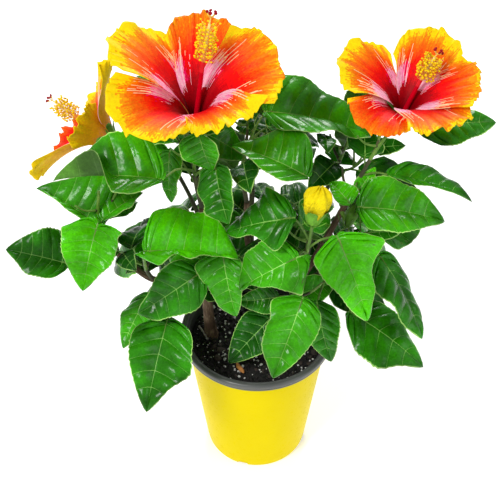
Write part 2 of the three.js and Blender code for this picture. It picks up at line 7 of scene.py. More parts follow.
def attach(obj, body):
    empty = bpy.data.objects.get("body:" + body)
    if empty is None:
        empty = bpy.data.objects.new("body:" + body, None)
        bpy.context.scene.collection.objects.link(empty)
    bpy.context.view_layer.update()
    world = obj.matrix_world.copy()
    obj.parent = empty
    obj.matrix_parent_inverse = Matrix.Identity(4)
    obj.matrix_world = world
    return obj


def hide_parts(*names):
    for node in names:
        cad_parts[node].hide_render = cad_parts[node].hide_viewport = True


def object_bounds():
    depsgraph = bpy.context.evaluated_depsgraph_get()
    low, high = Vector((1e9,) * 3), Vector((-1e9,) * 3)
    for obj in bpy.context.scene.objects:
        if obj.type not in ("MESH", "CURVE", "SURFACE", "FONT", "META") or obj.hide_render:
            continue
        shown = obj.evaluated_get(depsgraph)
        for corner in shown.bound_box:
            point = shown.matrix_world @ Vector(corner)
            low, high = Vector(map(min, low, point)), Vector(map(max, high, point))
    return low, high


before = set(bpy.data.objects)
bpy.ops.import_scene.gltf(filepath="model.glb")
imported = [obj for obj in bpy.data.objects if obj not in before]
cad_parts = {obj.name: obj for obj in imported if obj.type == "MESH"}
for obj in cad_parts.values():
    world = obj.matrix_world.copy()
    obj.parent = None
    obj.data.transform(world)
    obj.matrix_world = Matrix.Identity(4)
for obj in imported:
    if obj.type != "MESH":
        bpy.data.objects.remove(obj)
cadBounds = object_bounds()
bpy.ops.object.select_all(action="DESELECT")
print("frame loaded")

# Camera: it looks down on the shrub from the front
camera = {"place": (-0.0084, -0.6895, 0.8861), "tilt": 48.4, "lens": 72.43, "sensor": 36.0, "nearest": 0.02}

bpy.ops.object.camera_add(location=camera["place"], rotation=(math.radians(camera["tilt"]), 0, 0))
viewer = bpy.context.object
viewer.name = "viewer"
viewer.data.lens = camera["lens"]
viewer.data.sensor_width = camera["sensor"]
viewer.data.clip_start = camera["nearest"]
bpy.context.scene.camera = viewer
print("camera placed")

# Growth, by the rule of the frame's own solids. Sizes are in millimetres, and pieces are made in metres
pot = {"height": 158, "rim": 76, "foot": 52.5, "soilDepth": 14}
soilTop = pot["height"] - pot["soilDepth"]
growth = {
    "twig": 2.1,
    "stalk": 1.3,
    "twigLength": 34,
    "twigRise": (28, 52),
    "space": 118,
    "clearOfOthers": 9.5,
    "clearOfOwn": 7,
    "clearOfSoil": 8,
    "clearOfRim": 5.5,
    "tries": 11,
    "turnOn": 13,
    "rise": 22,
    "goldenTurn": 137.5,
    "look": {"width": 0.36, "roll": 0, "fold": 0.3, "cup": 0.2, "curl": 28},
    "reach": (18, 14),
    "leaf": {"length": (58, 28), "pitch": (-8, -34), "curl": (20, 25), "wave": (0, 2 * math.pi),
             "fold": (0.15, 0.3)},
    "within": (-math.inf, math.inf),
}
# Younger growth that the solids leave out: finer twigs and smaller leaves, within the solids' reach
inset = 1.5
youngGrowth = {
    "seed": 3,
    "twigLength": 22,
    "twigRise": (22, 48),
    "space": 112,
    "clearOfOthers": 5.5,
    "clearOfOwn": 5,
    "tries": 9,
    "turnOn": 17,
    "rise": 30,
    "reach": (8, 9),
    "leaf": {"length": (26, 26), "pitch": (26, -46), "curl": (18, 30), "wave": (0, 2 * math.pi),
             "fold": (0.2, 0.4)},
    "within": (np.array(cadBounds[0]) * 1000 + inset, np.array(cadBounds[1]) * 1000 - inset),
}
petalForm = {"overlap": 0.05, "spread": 38, "throat": 2.6}
viewerSide = np.array([0.0, -1.0, 0.0])

# Each limb: name, points, start radius, end radius
footLevel = soilTop - 4
stems = [
    ["stem_left", [[-46, 6, footLevel], [-48, 2, 180], [-50, 0, 222]], 5.6, 4.4],
    ["stem_middle", [[2, 24, footLevel], [-2, 20, 190], [-6, 16, 238]], 5.2, 4.0],
    ["stem_right", [[34, -4, footLevel], [37, -4, 185], [40, -4, 226]], 5.4, 4.2],
]
boughs = [
    ["bough_far_left", [[-50, 0, 222], [-75, -8, 232], [-98, -16, 241], [-129, -10, 268]], 3.6, 2.6],
    ["bough_upper_left", [[-50, 0, 222], [-48, -2, 270], [-50, -4, 317]], 3.6, 2.6],
    ["bough_back_left", [[-50, 0, 222], [-50, 14, 246], [-51, 26, 270]], 3.2, 2.4],
    ["bough_middle", [[-6, 16, 238], [-10, 10, 275], [-10, 8, 314]], 3.4, 2.5],
    ["bough_back", [[-6, 16, 238], [-6, 32, 270], [-5, 45, 299]], 3.2, 2.4],
    ["bough_far_right", [[40, -4, 226], [58, 2, 262], [84, 8, 324]], 3.6, 2.6],
    ["bough_front", [[40, -4, 226], [36, -14, 245], [34, -22, 261]], 3.0, 2.4],
    ["bough_low_right", [[40, -4, 226], [52, -8, 236], [62, -12, 246]], 3.0, 2.4],
    ["bough_back_right", [[40, -4, 226], [50, 20, 258], [60, 39, 289]], 3.2, 2.4],
]


# A leaf that shows. Tint is its green, and its form may have a width to either side, lobes (side, place,
# size, spread), a heart-shaped foot, and one half turned up (side, start, degrees)
def leafAt(along, foot, turn, pitch, length, tint, **looks):
    return dict(along=along, foot=foot, turn=turn, pitch=pitch, length=length, tint=tint, **looks)


# A shoot: its stem, what the rule adds (turn, spread, twigs, leaves, seed), its younger twigs and leaves,
# then the leaves and the bloom that show
def shootAt(name, stem, fill, younger, leaves=(), bloom=()):
    fill = dict(zip(("turn", "spread", "twigs", "leaves", "seed"), fill))
    return dict(name=name, stem=stem, fill=fill, younger=younger, leaves=leaves, bloom=dict(bloom))


# Petals: opening and length in the solids. Shapes: turn, opening, length, half spread, lift of one edge over
# the next, cut of either corner and curl. Flushes: how far the red goes
shoots = [
    shootAt("far_left", [[-129, -10, 268], [-142, -8, 305], [-140, -4, 336]], (100, 60, 1, 2, 67), (1, 2), [
        leafAt(0.4, [-141, -30, 315], -106, -30, 56, 0, width=0.48, roll=10, fold=0.6, wide=(0.92, 0.98),
               heart=(0.2, 0.1), lobes=[(1, 0.06, 0.5, 0.05), (-1, 0.08, 0.3, 0.12)]),
        leafAt(0.35, [-143, -12, 303], 162, 40, 64, 1, roll=-40, fold=0.9, wide=(1.4, 0.5)),
        leafAt(0.45, [-138, -12, 309], 45, 20, 48, 1, roll=8, fold=0.8),
        leafAt(0.05, [-180, -10, 256], 184, 26, 54, 2, width=0.45, fold=0.6, wide=(1.12, 0.85),
               heart=(0.12, 0.12), lobes=[(1, 0.62, 0.2, 0.2)]),
    ]),
    shootAt("upper_left", [[-50, -4, 317], [-55, -3, 352], [-53, 3, 403]], (80, 70, 1, 2, 32), (2, 2), [
        leafAt(0.55, [-81, -45, 381], 178, 10, 90, 1, width=0.38, roll=-28, fold=0.7, flip=(1, 0.36, 80)),
        leafAt(0.8, [-49, -20, 409], -56, -70, 38, 1, width=0.44, roll=-10, fold=0.5, wide=(1.15, 0.95)),
        leafAt(0.4, [-76, 8, 370], -108, -55, 46, 1, roll=-20, fold=0.1),
        leafAt(0.5, [-36, -20, 375], -82, -40, 50, 2, roll=-16, fold=0.5, wide=(1.1, 1.0),
               lobes=[(-1, 0.82, 0.6, 0.14), (-1, 0.15, -0.2, 0.12)]),
    ], {
        "turn": 90, "rise": 90, "phase": 16, "column": [16, 8, 100], "ruffle": 5,
        "petals": [[84, 94], [76, 94], [80, 98], [105, 92], [97, 92]],
        "shapes": [
            [11, 77, 94, 32, 0.20, 0.06, 0.14, -8],
            [86, 63, 92, 36, 0.0, 0.12, 0.22, -11],
            [155, 74, 102, 42, 0.15, 0.24, 0.20, -15],
            [227, 109, 87, 43, -0.10, 0.12, 0.31, -11],
            [292, 93, 83, 30, 0.04, 0.39, -0.12, -1],
        ],
        "flushes": [-0.04, -0.12, 0.06, 0.03, 0.05],
    }),
    shootAt("upper_back_left", [[-49, -3, 290], [-56, 30, 325], [-78, 62, 356]], (100, 80, 1, 3, 33), (3, 3)),
    shootAt("middle", [[-10, 8, 314], [-14, 5, 355], [-4, 8, 393]], (90, 110, 2, 3, 34), (3, 3), [
        leafAt(0.98, [8, 26, 399], 4, -6, 100, 1, fold=0.6),
        leafAt(0.75, [39, -34, 376], 153, 18, 72, 1, roll=-16, fold=0.6, wide=(1.0, 0.85),
               lobes=[(-1, 0.5, 0.2, 0.2), (1, 0.55, -0.15, 0.2)]),
    ]),
    shootAt("far_right", [[84, 8, 324], [92, 10, 345], [104, 15, 369], [123, 24, 395]],
            (80, 60, 1, 3, 30), (2, 2), [
        leafAt(0.8, [154, 48, 367], 2, 13, 62, 2, width=0.34, fold=0.1, heart=(0.2, 0.06)),
        leafAt(0.3, [119, 10, 342], -12, 2, 74, 2, roll=30, fold=0.4, wide=(0.35, 0.75), heart=(0.1, 0.12),
               lobes=[(1, 0.78, 0.7, 0.2)]),
        leafAt(0.1, [88, -26, 336], -3, 0, 78, 1, width=0.38, roll=12, fold=0.5, wide=(1.05, 1.02),
               lobes=[(-1, 0.8, -0.3, 0.15)]),
        leafAt(0.2, [79, -22, 337], 125, 20, 30, 0, width=0.42, roll=10, fold=0.4, wide=(1.1, 0.75)),
    ], {
        "turn": 0, "rise": 88, "phase": 6, "column": [25, 4, 63], "ruffle": 4,
        "petals": [[94, 76], [78, 82], [80, 76], [104, 74], [100, 76]],
        "shapes": [
            [-15, 86, 78, 30, 0.04, 0.0, 0.11, -35],
            [59, 74, 81, 44, -0.01, 0.16, 0.33, -24],
            [155, 78, 79, 46, 0.0, 0.33, 0.2, -6],
            [232, 116, 60, 37, 0.0, 0.06, 0.13, 10],
            [296, 109, 80, 32, -0.08, 0.04, 0.18, -28],
        ],
        "flushes": [-0.08, 0.04, 0.02, -0.12, -0.06],
    }),
    shootAt("bud_front", [[34, -22, 261], [42, -45, 300], [45, -60, 350]], (60, 60, 0, 1, 1), (1, 2), [
        leafAt(0.6, [66, -64, 334], -56, -42, 78, 0, width=0.38, wide=(0.95, 0.95),
               lobes=[(-1, 0.1, 0.15, 0.1), (-1, 0.65, -0.15, 0.25), (1, 0.24, 0.4, 0.1), (1, 0.5, -0.3, 0.2),
                      (1, 0.85, -0.3, 0.15)]),
        leafAt(0.5, [32, -70, 317], -171, -26, 62, 1, width=0.42, roll=-10, heart=(0.06, 0.22),
               lobes=[(1, 0.1, 0.4, 0.1), (1, 0.52, -0.45, 0.2), (1, 0.8, -0.8, 0.16),
                      (-1, 0.75, 0.45, 0.18)]),
        leafAt(0.7, [28, -57, 350], 165, -20, 72, 2, width=0.34, roll=-10, fold=0.2, wide=(0.95, 0.78),
               lobes=[(1, 0.22, 0.4, 0.11), (1, 0.56, -0.4, 0.16), (-1, 0.34, 0.28, 0.12)]),
    ], {"turn": 20, "rise": 82, "length": 33, "width": 10, "tones": "bud"}),
    shootAt("low_right", [[62, -12, 246], [82, -22, 262], [100, -26, 280]], (50, 60, 1, 2, 7), (2, 2), [
        leafAt(0.95, [108, -30, 283], -48, -26, 84, 2, roll=26, fold=0.1, wide=(1.05, 0.72)),
        leafAt(0.5, [86, -46, 226], -32, -8, 82, 2, width=0.32, roll=16, fold=0.2, wide=(1.12, 1.0),
               lobes=[(-1, 0.65, 0.5, 0.25), (-1, 0.1, -0.15, 0.15)]),
        leafAt(0.1, [54, -50, 243], -76, -52, 60, 2, width=0.32, roll=-36, fold=0.4),
    ]),
    shootAt("low_front", [[36, -4, 200], [30, -42, 240], [34, -62, 272]], (0, 40, 1, 1, 20), (1, 2), [
        leafAt(0.95, [38, -76, 274], -113, -34, 74, 1, width=0.33, wide=(1.0, 0.93),
               lobes=[(-1, 0.12, 0.15, 0.08), (-1, 0.34, -0.12, 0.08), (-1, 0.7, 0.25, 0.16)]),
        leafAt(0.6, [18, -44, 245], -168, -2, 38, 2, roll=20, fold=0.4),
        # Tint 3 is the deep green, painted shade for this low inner leaf
        leafAt(0.3, [13, -24, 197], -140, -24, 60, 3, width=0.34, roll=-8),
    ]),
    shootAt("low_left", [[-49, 1, 204], [-70, -26, 222], [-88, -38, 234]], (150, 40, 1, 1, 20), (1, 2), [
        leafAt(0.7, [-83, -54, 223], -104, -22, 84, 2, roll=8, fold=0.5, wide=(0.9, 1.0),
               lobes=[(1, 0.55, 0.3, 0.16)]),
        leafAt(0.95, [-101, -22, 226], -125, -20, 56, 1, roll=-16, fold=0.1),
    ]),
    shootAt("front_left", [[-49, -2, 250], [-46, -22, 260], [-38, -32, 276]], (-20, 40, 0, 1, 114), (1, 2), [
        leafAt(0.4, [-52, -42, 273], -150, -21, 68, 2, width=0.33, roll=26, wide=(1.05, 1.15),
               lobes=[(-1, 0.75, -0.25, 0.16), (1, 0.88, 0.45, 0.12), (1, 0.12, -0.1, 0.12)]),
        leafAt(0.97, [-31, -38, 294], -79, -52, 62, 1, roll=-10, fold=0.4, wide=(1.0, 0.8),
               lobes=[(-1, 0.12, 0.25, 0.12), (-1, 0.86, 0.35, 0.12)]),
    ]),
    shootAt("inner_left", [[-98, -16, 241], [-100, -36, 272], [-99, -52, 300]], (60, 50, 1, 1, 13), (1, 2), [
        leafAt(0.98, [-94, -62, 317], 10, -2, 83, 0, width=0.38, roll=30, fold=0.8, wide=(0.95, 1.05),
               heart=(0.15, 0.06),
               lobes=[(-1, 0.08, 0.35, 0.07), (-1, 0.28, -0.6, 0.09), (-1, 0.42, 0.2, 0.12),
                      (-1, 0.8, -0.7, 0.2), (1, 0.72, 0.5, 0.24), (1, 0.9, 0.4, 0.1)]),
    ]),
    shootAt("back_left", [[-51, 26, 270], [-69, 45, 305], [-92, 66, 332], [-113, 80, 331], [-133, 85, 323]],
            (110, 180, 4, 6, 9), (4, 4), [], {
        "turn": 156, "rise": 24, "phase": 54, "column": [-66, 29, 32], "ruffle": 4,
        "petals": [[135, 74], [94, 90], [94, 92], [118, 86], [80, 92]],
        "shapes": [
            [50, 78, 86, 40, 0.03, 0.14, 0.14, -11],
            [113, 70, 78, 34, 0.0, 0.12, 0.16, -25],
            [154, 96, 95, 36, 0.04, 0.06, 0.06, -28],
            [259, 78, 50, 44, 0.04, 0.34, 0.2, -24],
            [347, 101, 86, 30, 0.12, -0.08, 0.05, -38],
        ],
        "flushes": [0.1, -0.26, 0.1, 0.0, 0.3],
    }),
    shootAt("back", [[-5, 45, 299], [-2, 62, 338], [4, 72, 372]], (90, 180, 4, 6, 120), (4, 4), [],
            {"turn": 80, "rise": 70, "length": 34, "width": 9, "tones": "green bud"}),
    shootAt("back_right", [[60, 39, 289], [76, 54, 325], [88, 66, 356]], (60, 180, 4, 6, 92), (5, 4)),
    shootAt("low_back", [[-1, 22, 204], [6, 58, 226], [12, 84, 250]], (90, 130, 3, 4, 18), (4, 4)),
    shootAt("low_back_left", [[-48, 3, 190], [-66, 34, 212], [-90, 56, 236]], (130, 110, 3, 4, 92), (4, 4)),
    shootAt("low_back_right", [[37, -4, 192], [64, 28, 214], [92, 48, 238]], (45, 110, 3, 4, 104), (4, 4)),
]
# Forms beside the right bough that the solids leave out: a young leaf, a small closed bud and a cut stub
sprigPlan = shootAt("sprig", [[76, 6, 305], [79, -5, 303], [81, -12, 307]], (0, 0, 0, 0, 5), (0, 0), [
    leafAt(0.1, [89, 4, 330], 23, 53, 26, 0, width=0.32, fold=0.5),
], {"turn": 60, "rise": 47, "length": 14, "width": 4.6, "hug": (0.7, 1.25, 0.05), "cover": 1.35})
stub = [[84, 8, 324], [77, 11, 334], [74, 12, 350]]


def seeded(seed):
    state = [seed]

    def draw():
        state[0] = (state[0] * 1664525 + 1013904223) % 4294967296
        return state[0] / 4294967296

    return draw


def unit(vector):
    return vector / np.linalg.norm(vector)


# A direction from a compass turn (0 is +X, 90 is +Y) and a rise above the horizon
def heading(turn, rise):
    turn, rise = math.radians(turn), math.radians(rise)
    return np.array([math.cos(rise) * math.cos(turn), math.cos(rise) * math.sin(turn), math.sin(rise)])


# Places on the smooth curve through some points, at shares of it from 0 to 1
def curveAt(points, shares):
    points = np.asarray(points, float)
    last = len(points) - 1
    found = []
    for share in np.atleast_1d(shares):
        i = min(int(share * last), last - 1)
        w = share * last - i
        b, c = points[i], points[i + 1]
        a = points[i - 1] if i else 2 * b - c
        d = points[i + 2] if i + 2 <= last else 2 * c - b
        ab, bc, cd = (math.sqrt(np.linalg.norm(q - p)) for p, q in ((a, b), (b, c), (c, d)))
        out = ((b - a) / ab - (c - a) / (ab + bc) + (c - b) / bc) * bc
        back = ((c - b) / bc - (d - b) / (bc + cd) + (d - c) / cd) * bc
        found.append(b + w * (out + w * (3 * (c - b) - 2 * out - back + w * (2 * (b - c) + out + back))))
    return np.array(found)


def lineSamples(points, count=11):
    return curveAt(points, np.linspace(0, 1, count))


# The half width of a leaf along its length, as a share of the widest
def leafOutline(u):
    return np.maximum(np.sin(np.pi * np.power(u, 0.55)), 0) ** 0.75


def bladeFrame(leaf):
    forward = heading(leaf["turn"], leaf["pitch"])
    outward = unit(leaf["foot"] * np.array([1, 1, 0]))
    light = np.array([0, 0, 1]) + 0.35 * outward + 0.5 * viewerSide
    up = unit(light - forward * light.dot(forward))
    roll = math.radians(leaf["roll"])
    face = up * math.cos(roll) + np.cross(up, forward) * math.sin(roll)
    return forward, face, np.cross(face, forward)


# Points of a blade: u from foot to tip, v from one margin (-1) to the other (1)
def bladeAt(leaf, u, v, half=None):
    forward, face, side = bladeFrame(leaf)
    u, v = np.broadcast_arrays(u, v)
    curl = math.radians(leaf["curl"])
    along = leaf["length"] * np.sin(curl * u) / curl
    sink = leaf["length"] * (1 - np.cos(curl * u)) / curl
    if half is None:
        half = leaf["length"] * leaf["width"] * leafOutline(u)
    lift = half * (leaf["fold"] * np.abs(v) - leaf["cup"] * v * v)
    wave = half * 0.16 * v * np.sin(leaf["wave"] + 6.5 * u)
    points = leaf["foot"] + along[..., None] * forward + (lift + wave - sink)[..., None] * face
    return points + (half * v)[..., None] * side


def leafSamples(leaf):
    u = np.array([0.06, 0.24, 0.42, 0.6, 0.78, 0.97])[:, None]
    return bladeAt(leaf, u, np.array([-1, -0.5, 0, 0.5, 1])).reshape(-1, 3)


def stalkPath(leaf):
    middle = (leaf["node"] + leaf["foot"]) / 2
    middle[2] += np.linalg.norm(leaf["node"] - leaf["foot"]) * 0.12
    return [leaf["node"], middle, leaf["foot"], bladeAt(leaf, 0.16, 0)]


def bloomFrame(bloom):
    axis = heading(bloom["turn"], bloom["rise"])
    first = unit(np.array([1, 0, 0]) - axis * axis[0])
    return axis, first, np.cross(axis, first)


# Points round a bloom's axis, at a turn, a way out from the axis and a way along it
def roundAxis(bloom, turn, out, along):
    axis, first, second = bloomFrame(bloom)
    radial = np.cos(turn)[..., None] * first + np.sin(turn)[..., None] * second
    return bloom["base"] + radial * out[..., None] + axis * along[..., None]


# How far a petal's middle line has gone out from the axis and along it, at a share s of its length
def petalProfile(opening, length, s, curl=0):
    slices = 12
    out = np.full_like(s, petalForm["throat"])
    along = np.zeros_like(s)
    for i in range(slices):
        middle = s * (i + 0.5) / slices
        angle = np.radians(opening * (0.22 + 0.9 * middle - 0.1 * middle * middle) + curl * middle**3)
        out = out + length * s * np.sin(angle) / slices
        along = along + length * s * np.cos(angle) / slices
    return out, along, angle


# Points of a petal, lifted square to its middle line
def liftedPetal(bloom, turn, profile, lift):
    out, along, angle = profile
    return roundAxis(bloom, turn, out - lift * np.cos(angle), along + lift * np.sin(angle))


# Points of petal k as in the solids: s from throat to rim, t from one edge (-1) to the other (1)
def petalAt(bloom, k, s, t):
    s, t = np.broadcast_arrays(np.asarray(s, float), np.asarray(t, float))
    opening, length = bloom["petals"][k]
    reach = s * (1 - 0.2 * np.abs(t) ** 3)
    wave = bloom["ruffle"] * np.sin(2.1 * np.pi * t + 1.9 * k) * reach**4
    turn = np.radians(bloom["phase"] + 72 * k + petalForm["spread"] * t)
    lift = petalForm["overlap"] * length * t * reach + wave
    return liftedPetal(bloom, turn, petalProfile(opening, length, reach), lift)


def columnPath(bloom):
    reach = np.array(bloom["column"], float)
    bend = bloomFrame(bloom)[0] * np.linalg.norm(reach) * 0.06
    return [bloom["base"], bloom["base"] + reach / 2 + bend, bloom["base"] + reach]


def bloomSamples(bloom):
    if "length" in bloom:
        shares = np.array([0.2, 0.4, 0.6, 0.8, 1])[:, None]
        return bloom["base"] + bloomFrame(bloom)[0] * bloom["length"] * shares
    s = np.array([0.3, 0.5, 0.7, 0.85, 1])[:, None]
    t = np.array([-0.9, -0.45, 0, 0.45, 0.9])
    petals = [petalAt(bloom, k, s, t).reshape(-1, 3) for k in range(5)]
    return np.vstack([lineSamples(columnPath(bloom)), *petals])


# Growth keeps clear of the sample points of every limb, leaf and bloom, each with its owner's number
taken = {"points": np.zeros((0, 3)), "owners": np.zeros(0, int)}


def take(owner, points):
    taken["points"] = np.vstack([taken["points"], points])
    taken["owners"] = np.append(taken["owners"], np.full(len(points), owner))


def clearOfPot(points):
    out = np.hypot(points[:, 0], points[:, 1])
    rim = growth["clearOfRim"]
    high = points[:, 2] > pot["height"] + rim
    inside = points[:, 2] > soilTop + growth["clearOfSoil"]
    return np.where(out < pot["rim"] - 2 * rim, inside, (out > pot["rim"] + rim) | high).all()


def isClear(shoot, points, rule):
    if not clearOfPot(points) or (np.linalg.norm(points - shoot["centre"], axis=1) >= rule["space"]).any():
        return False
    keep = np.where(taken["owners"] == shoot["number"], rule["clearOfOwn"], rule["clearOfOthers"])
    apart = ((points[:, None] - taken["points"][None]) ** 2).sum(2)
    return bool((apart > keep**2).all())


# A leaf that grows at a node: the rule turns it on until it finds room, or leaves it out
def grownLeaf(shoot, node, turn, rule, random, size=1.0):
    reach = rule["reach"][0] + rule["reach"][1] * random()
    looks = {name: least + more * random() for name, (least, more) in rule["leaf"].items()}
    looks["length"] *= size
    for i in range(rule["tries"]):
        way = turn + (-1 if i % 2 else 1) * rule["turnOn"] * math.ceil(i / 2)
        leaf = {**growth["look"], **looks, "node": node, "turn": way, "young": rule is youngGrowth}
        leaf.update(foot=node + heading(way, rule["rise"]) * reach * size, showing=False)
        samples = leafSamples(leaf)
        low, high = rule["within"]
        if (samples >= low).all() and (samples <= high).all() and isClear(shoot, samples, rule):
            take(shoot["number"], samples)
            return [leaf]
    return []


# A twig that grows at a node and bends up, where it finds room
def grownTwig(shoot, node, turn, length, rule):
    low, high = rule["twigRise"]
    bend = node + heading(turn, low) * length / 2
    tip = bend + heading(turn, high) * length / 2
    return [np.array([node, bend, tip])] if isClear(shoot, np.array([(bend + tip) / 2, tip]), rule) else []


def freeTurn(fill, start, k):
    turn = (start + growth["goldenTurn"] * k) % 360
    return fill["turn"] + (turn - 180) / 180 * fill["spread"]


def growLeaves(shoot, points, fromShare, count, start):
    for i in range(count):
        node = curveAt(points, fromShare + (0.97 - fromShare) * (i + 0.5) / count)[0]
        shoot["leaves"] += grownLeaf(shoot, node, freeTurn(shoot["fill"], start, i), growth, shoot["random"])


def startShoot(plan, number):
    random = seeded(plan["fill"]["seed"])
    stem = np.array(plan["stem"], float)
    shoot = {**plan, "number": number, "stem": stem, "side": [], "finer": [], "leaves": [], "random": random}
    shoot["centre"] = curveAt(stem, 0.6)[0]
    for leaf in plan["leaves"]:
        grown = {**growth["look"], **leaf, "showing": True, "wave": 2 * math.pi * random()}
        grown["node"] = curveAt(stem, leaf["along"])[0]
        grown["foot"] = np.array(leaf["foot"], float)
        shoot["leaves"].append(grown)
    take(number, lineSamples(stem))
    for leaf in shoot["leaves"]:
        take(number, np.vstack([leafSamples(leaf), lineSamples(stalkPath(leaf))]))
    if plan["bloom"]:
        shoot["bloom"]["base"] = stem[-1]
        take(number, bloomSamples(shoot["bloom"]))
    return shoot


# Side twigs branch from the stem, and leaves grow on the twigs and on the stem itself
def fillShoot(shoot):
    random, fill = shoot["random"], shoot["fill"]
    firstTurn = 360 * random()
    for k in range(fill["twigs"]):
        node = curveAt(shoot["stem"], 0.3 + 0.55 * (k + 0.5) / fill["twigs"])[0]
        length = growth["twigLength"] * (0.8 + 0.4 * random())
        for points in grownTwig(shoot, node, freeTurn(fill, firstTurn, k), length, growth):
            take(shoot["number"], lineSamples(points)[4:])
            shoot["side"].append(points)
            growLeaves(shoot, points, 0.45, 2, firstTurn + 70 * (k + 1))
    growLeaves(shoot, shoot["stem"], 0.15, fill["leaves"], firstTurn + 180)


def growYounger(shoot):
    twigs, leaves = shoot["younger"]
    random = seeded(youngGrowth["seed"])
    start = 360 * random()
    for k in range(twigs):
        along = [shoot["stem"], *shoot["side"]][k % (len(shoot["side"]) + 1)]
        node = curveAt(along, 0.35 + 0.6 * random())[0]
        turn = shoot["fill"]["turn"] + 300 * (random() - 0.5)
        length = youngGrowth["twigLength"] * (0.7 + 0.6 * random())
        for points in grownTwig(shoot, node, turn, length, youngGrowth):
            found = []
            for i, place in enumerate(curveAt(points, (0.55, 0.8, 0.97))):
                found += grownLeaf(shoot, place, turn + 120 * (i - 1), youngGrowth, random, 1 - 0.12 * i)
            if found:
                take(shoot["number"], lineSamples(points)[4:])
                shoot["finer"].append(points)
                shoot["leaves"] += found
    for i in range(leaves):
        node = curveAt(shoot["stem"], 0.2 + 0.75 * (i + 0.5) / leaves)[0]
        shoot["leaves"] += grownLeaf(shoot, node, start + growth["goldenTurn"] * i, youngGrowth, random)


for limb in stems + boughs:
    take(0, lineSamples(limb[1]))
growing = [startShoot(shoot, number + 1) for number, shoot in enumerate(shoots)]
for grow in (fillShoot, growYounger):
    for shoot in growing:
        grow(shoot)
    print("grown", sum(len(shoot["leaves"]) for shoot in growing), "leaves")
sprig = startShoot(sprigPlan, len(growing) + 1)
sprig["leaves"][0]["node"] = np.array(stub[0], float)
sprig["side"].append(np.array(stub))
growing.append(sprig)


# Meshes: points are gathered in millimetres and become one piece in metres
def newHeap():
    return {"points": [], "faces": [], "slots": [], "uvs": [], "size": 0}


def addFaces(heap, points, faces, slots, uvs):
    heap["points"].append(points)
    heap["faces"] += [[corner + heap["size"] for corner in face] for face in faces]
    heap["slots"] += list(slots)
    heap["uvs"].append(uvs)
    heap["size"] += len(points)


def makePiece(name, heap, materials, slotName, *stands):
    mesh = bpy.data.meshes.new(name)
    mesh.from_pydata(np.vstack(heap["points"]) / 1000, [], heap["faces"])
    for material in materials:
        mesh.materials.append(material)
    mesh.polygons.foreach_set("material_index", np.array(heap["slots"], np.int32))
    mesh.polygons.foreach_set("use_smooth", np.ones(len(mesh.polygons), bool))
    corners = np.zeros(len(mesh.loops), np.int32)
    mesh.loops.foreach_get("vertex_index", corners)
    mesh.uv_layers.new(name="along").data.foreach_set("uv", np.vstack(heap["uvs"])[corners].ravel())
    piece = bpy.data.objects.new(name, mesh)
    bpy.context.scene.collection.objects.link(piece)
    finishPiece(piece, slotName, *stands)


def finishPiece(piece, slotName, *stands):
    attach(piece, "root")
    if stands:
        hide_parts(*stands)


# A thin closed sheet through a grid of points: its upper side, its under side and its rim
def addSheet(heap, grid, thickness, upperSlots=None, underSlots=None, rimSlot=None):
    rows, columns = grid.shape[:2]
    normals = np.cross(np.gradient(grid, axis=0), np.gradient(grid, axis=1))
    normals /= np.maximum(np.linalg.norm(normals, axis=2, keepdims=True), 1e-9)
    points = [(grid + normals * way).reshape(-1, 3) for way in (thickness / 2, -thickness / 2)]
    top = np.arange(rows * columns).reshape(rows, columns)
    faces = np.stack([top[:-1, :-1], top[1:, :-1], top[1:, 1:], top[:-1, 1:]], 2).reshape(-1, 4)
    border = np.concatenate([top[0, :-1], top[:-1, -1], top[-1, :0:-1], top[:0:-1, 0]])
    after, below = np.roll(border, -1), rows * columns
    rim = np.stack([border, after, after + below, border + below], 1)
    every = np.vstack([faces, faces[:, ::-1] + below, rim])
    upper = np.zeros((rows - 1, columns - 1), int) if upperSlots is None else upperSlots
    under = upper if underSlots is None else underSlots
    edges = [upper[0], upper[:, -1], upper[-1, ::-1], upper[::-1, 0]]
    if rimSlot is not None:
        edges = [np.full(len(rim), rimSlot)]
    across, along = np.meshgrid(np.linspace(0, 1, columns), np.linspace(0, 1, rows))
    places = np.stack([across, along], 2).reshape(-1, 2)
    slots = np.concatenate([upper.ravel(), under.ravel(), *edges])
    addFaces(heap, np.vstack(points), every.tolist(), slots, np.vstack([places, places]))


# Faces of a closed tube or ball: rings of corners, then a point at either end
def closedFaces(count, sides):
    pairs = [(j, (j + 1) % sides) for j in range(sides)]
    starts = range(0, (count - 1) * sides, sides)
    faces = [[i + j, i + k, i + k + sides, i + j + sides] for i in starts for j, k in pairs]
    last = (count - 1) * sides
    for j, k in pairs:
        faces += [[count * sides, k, j], [count * sides + 1, last + j, last + k]]
    return faces


# A closed tube along points, with a radius at each point or at each point and side
def addTube(heap, points, radii, sides, slot):
    points = np.asarray(points, float)
    count = len(points)
    radii = np.asarray(radii, float).reshape(count, -1, 1)
    tangents = np.gradient(points, axis=0)
    tangents /= np.linalg.norm(tangents, axis=1, keepdims=True)
    side = np.array([0.31, 0.87, 0.38])
    turns = 2 * np.pi * np.arange(sides)[:, None] / sides
    rings = []
    for i in range(count):
        side = unit(side - tangents[i] * side.dot(tangents[i]))
        spread = np.cos(turns) * side + np.sin(turns) * np.cross(tangents[i], side)
        rings.append(points[i] + spread * radii[i])
    across = np.tile(np.arange(sides) / sides, count)
    along = np.repeat(np.linspace(0, 1, count), sides)
    uvs = np.vstack([np.stack([across, along], 1), [[0, 0], [0, 1]]])
    skin = np.broadcast_to(slot, count)
    slots = np.repeat(skin[:-1], sides).tolist() + [int(skin[0]), int(skin[-1])] * sides
    addFaces(heap, np.vstack([*rings, points[:1], points[-1:]]), closedFaces(count, sides), slots, uvs)


# Materials: each is a principled shader with a pattern by object coordinates or by the map along a tube
def connect(tree, socket, value):
    if isinstance(value, bpy.types.NodeSocket):
        tree.links.new(value, socket)
    else:
        socket.default_value = value


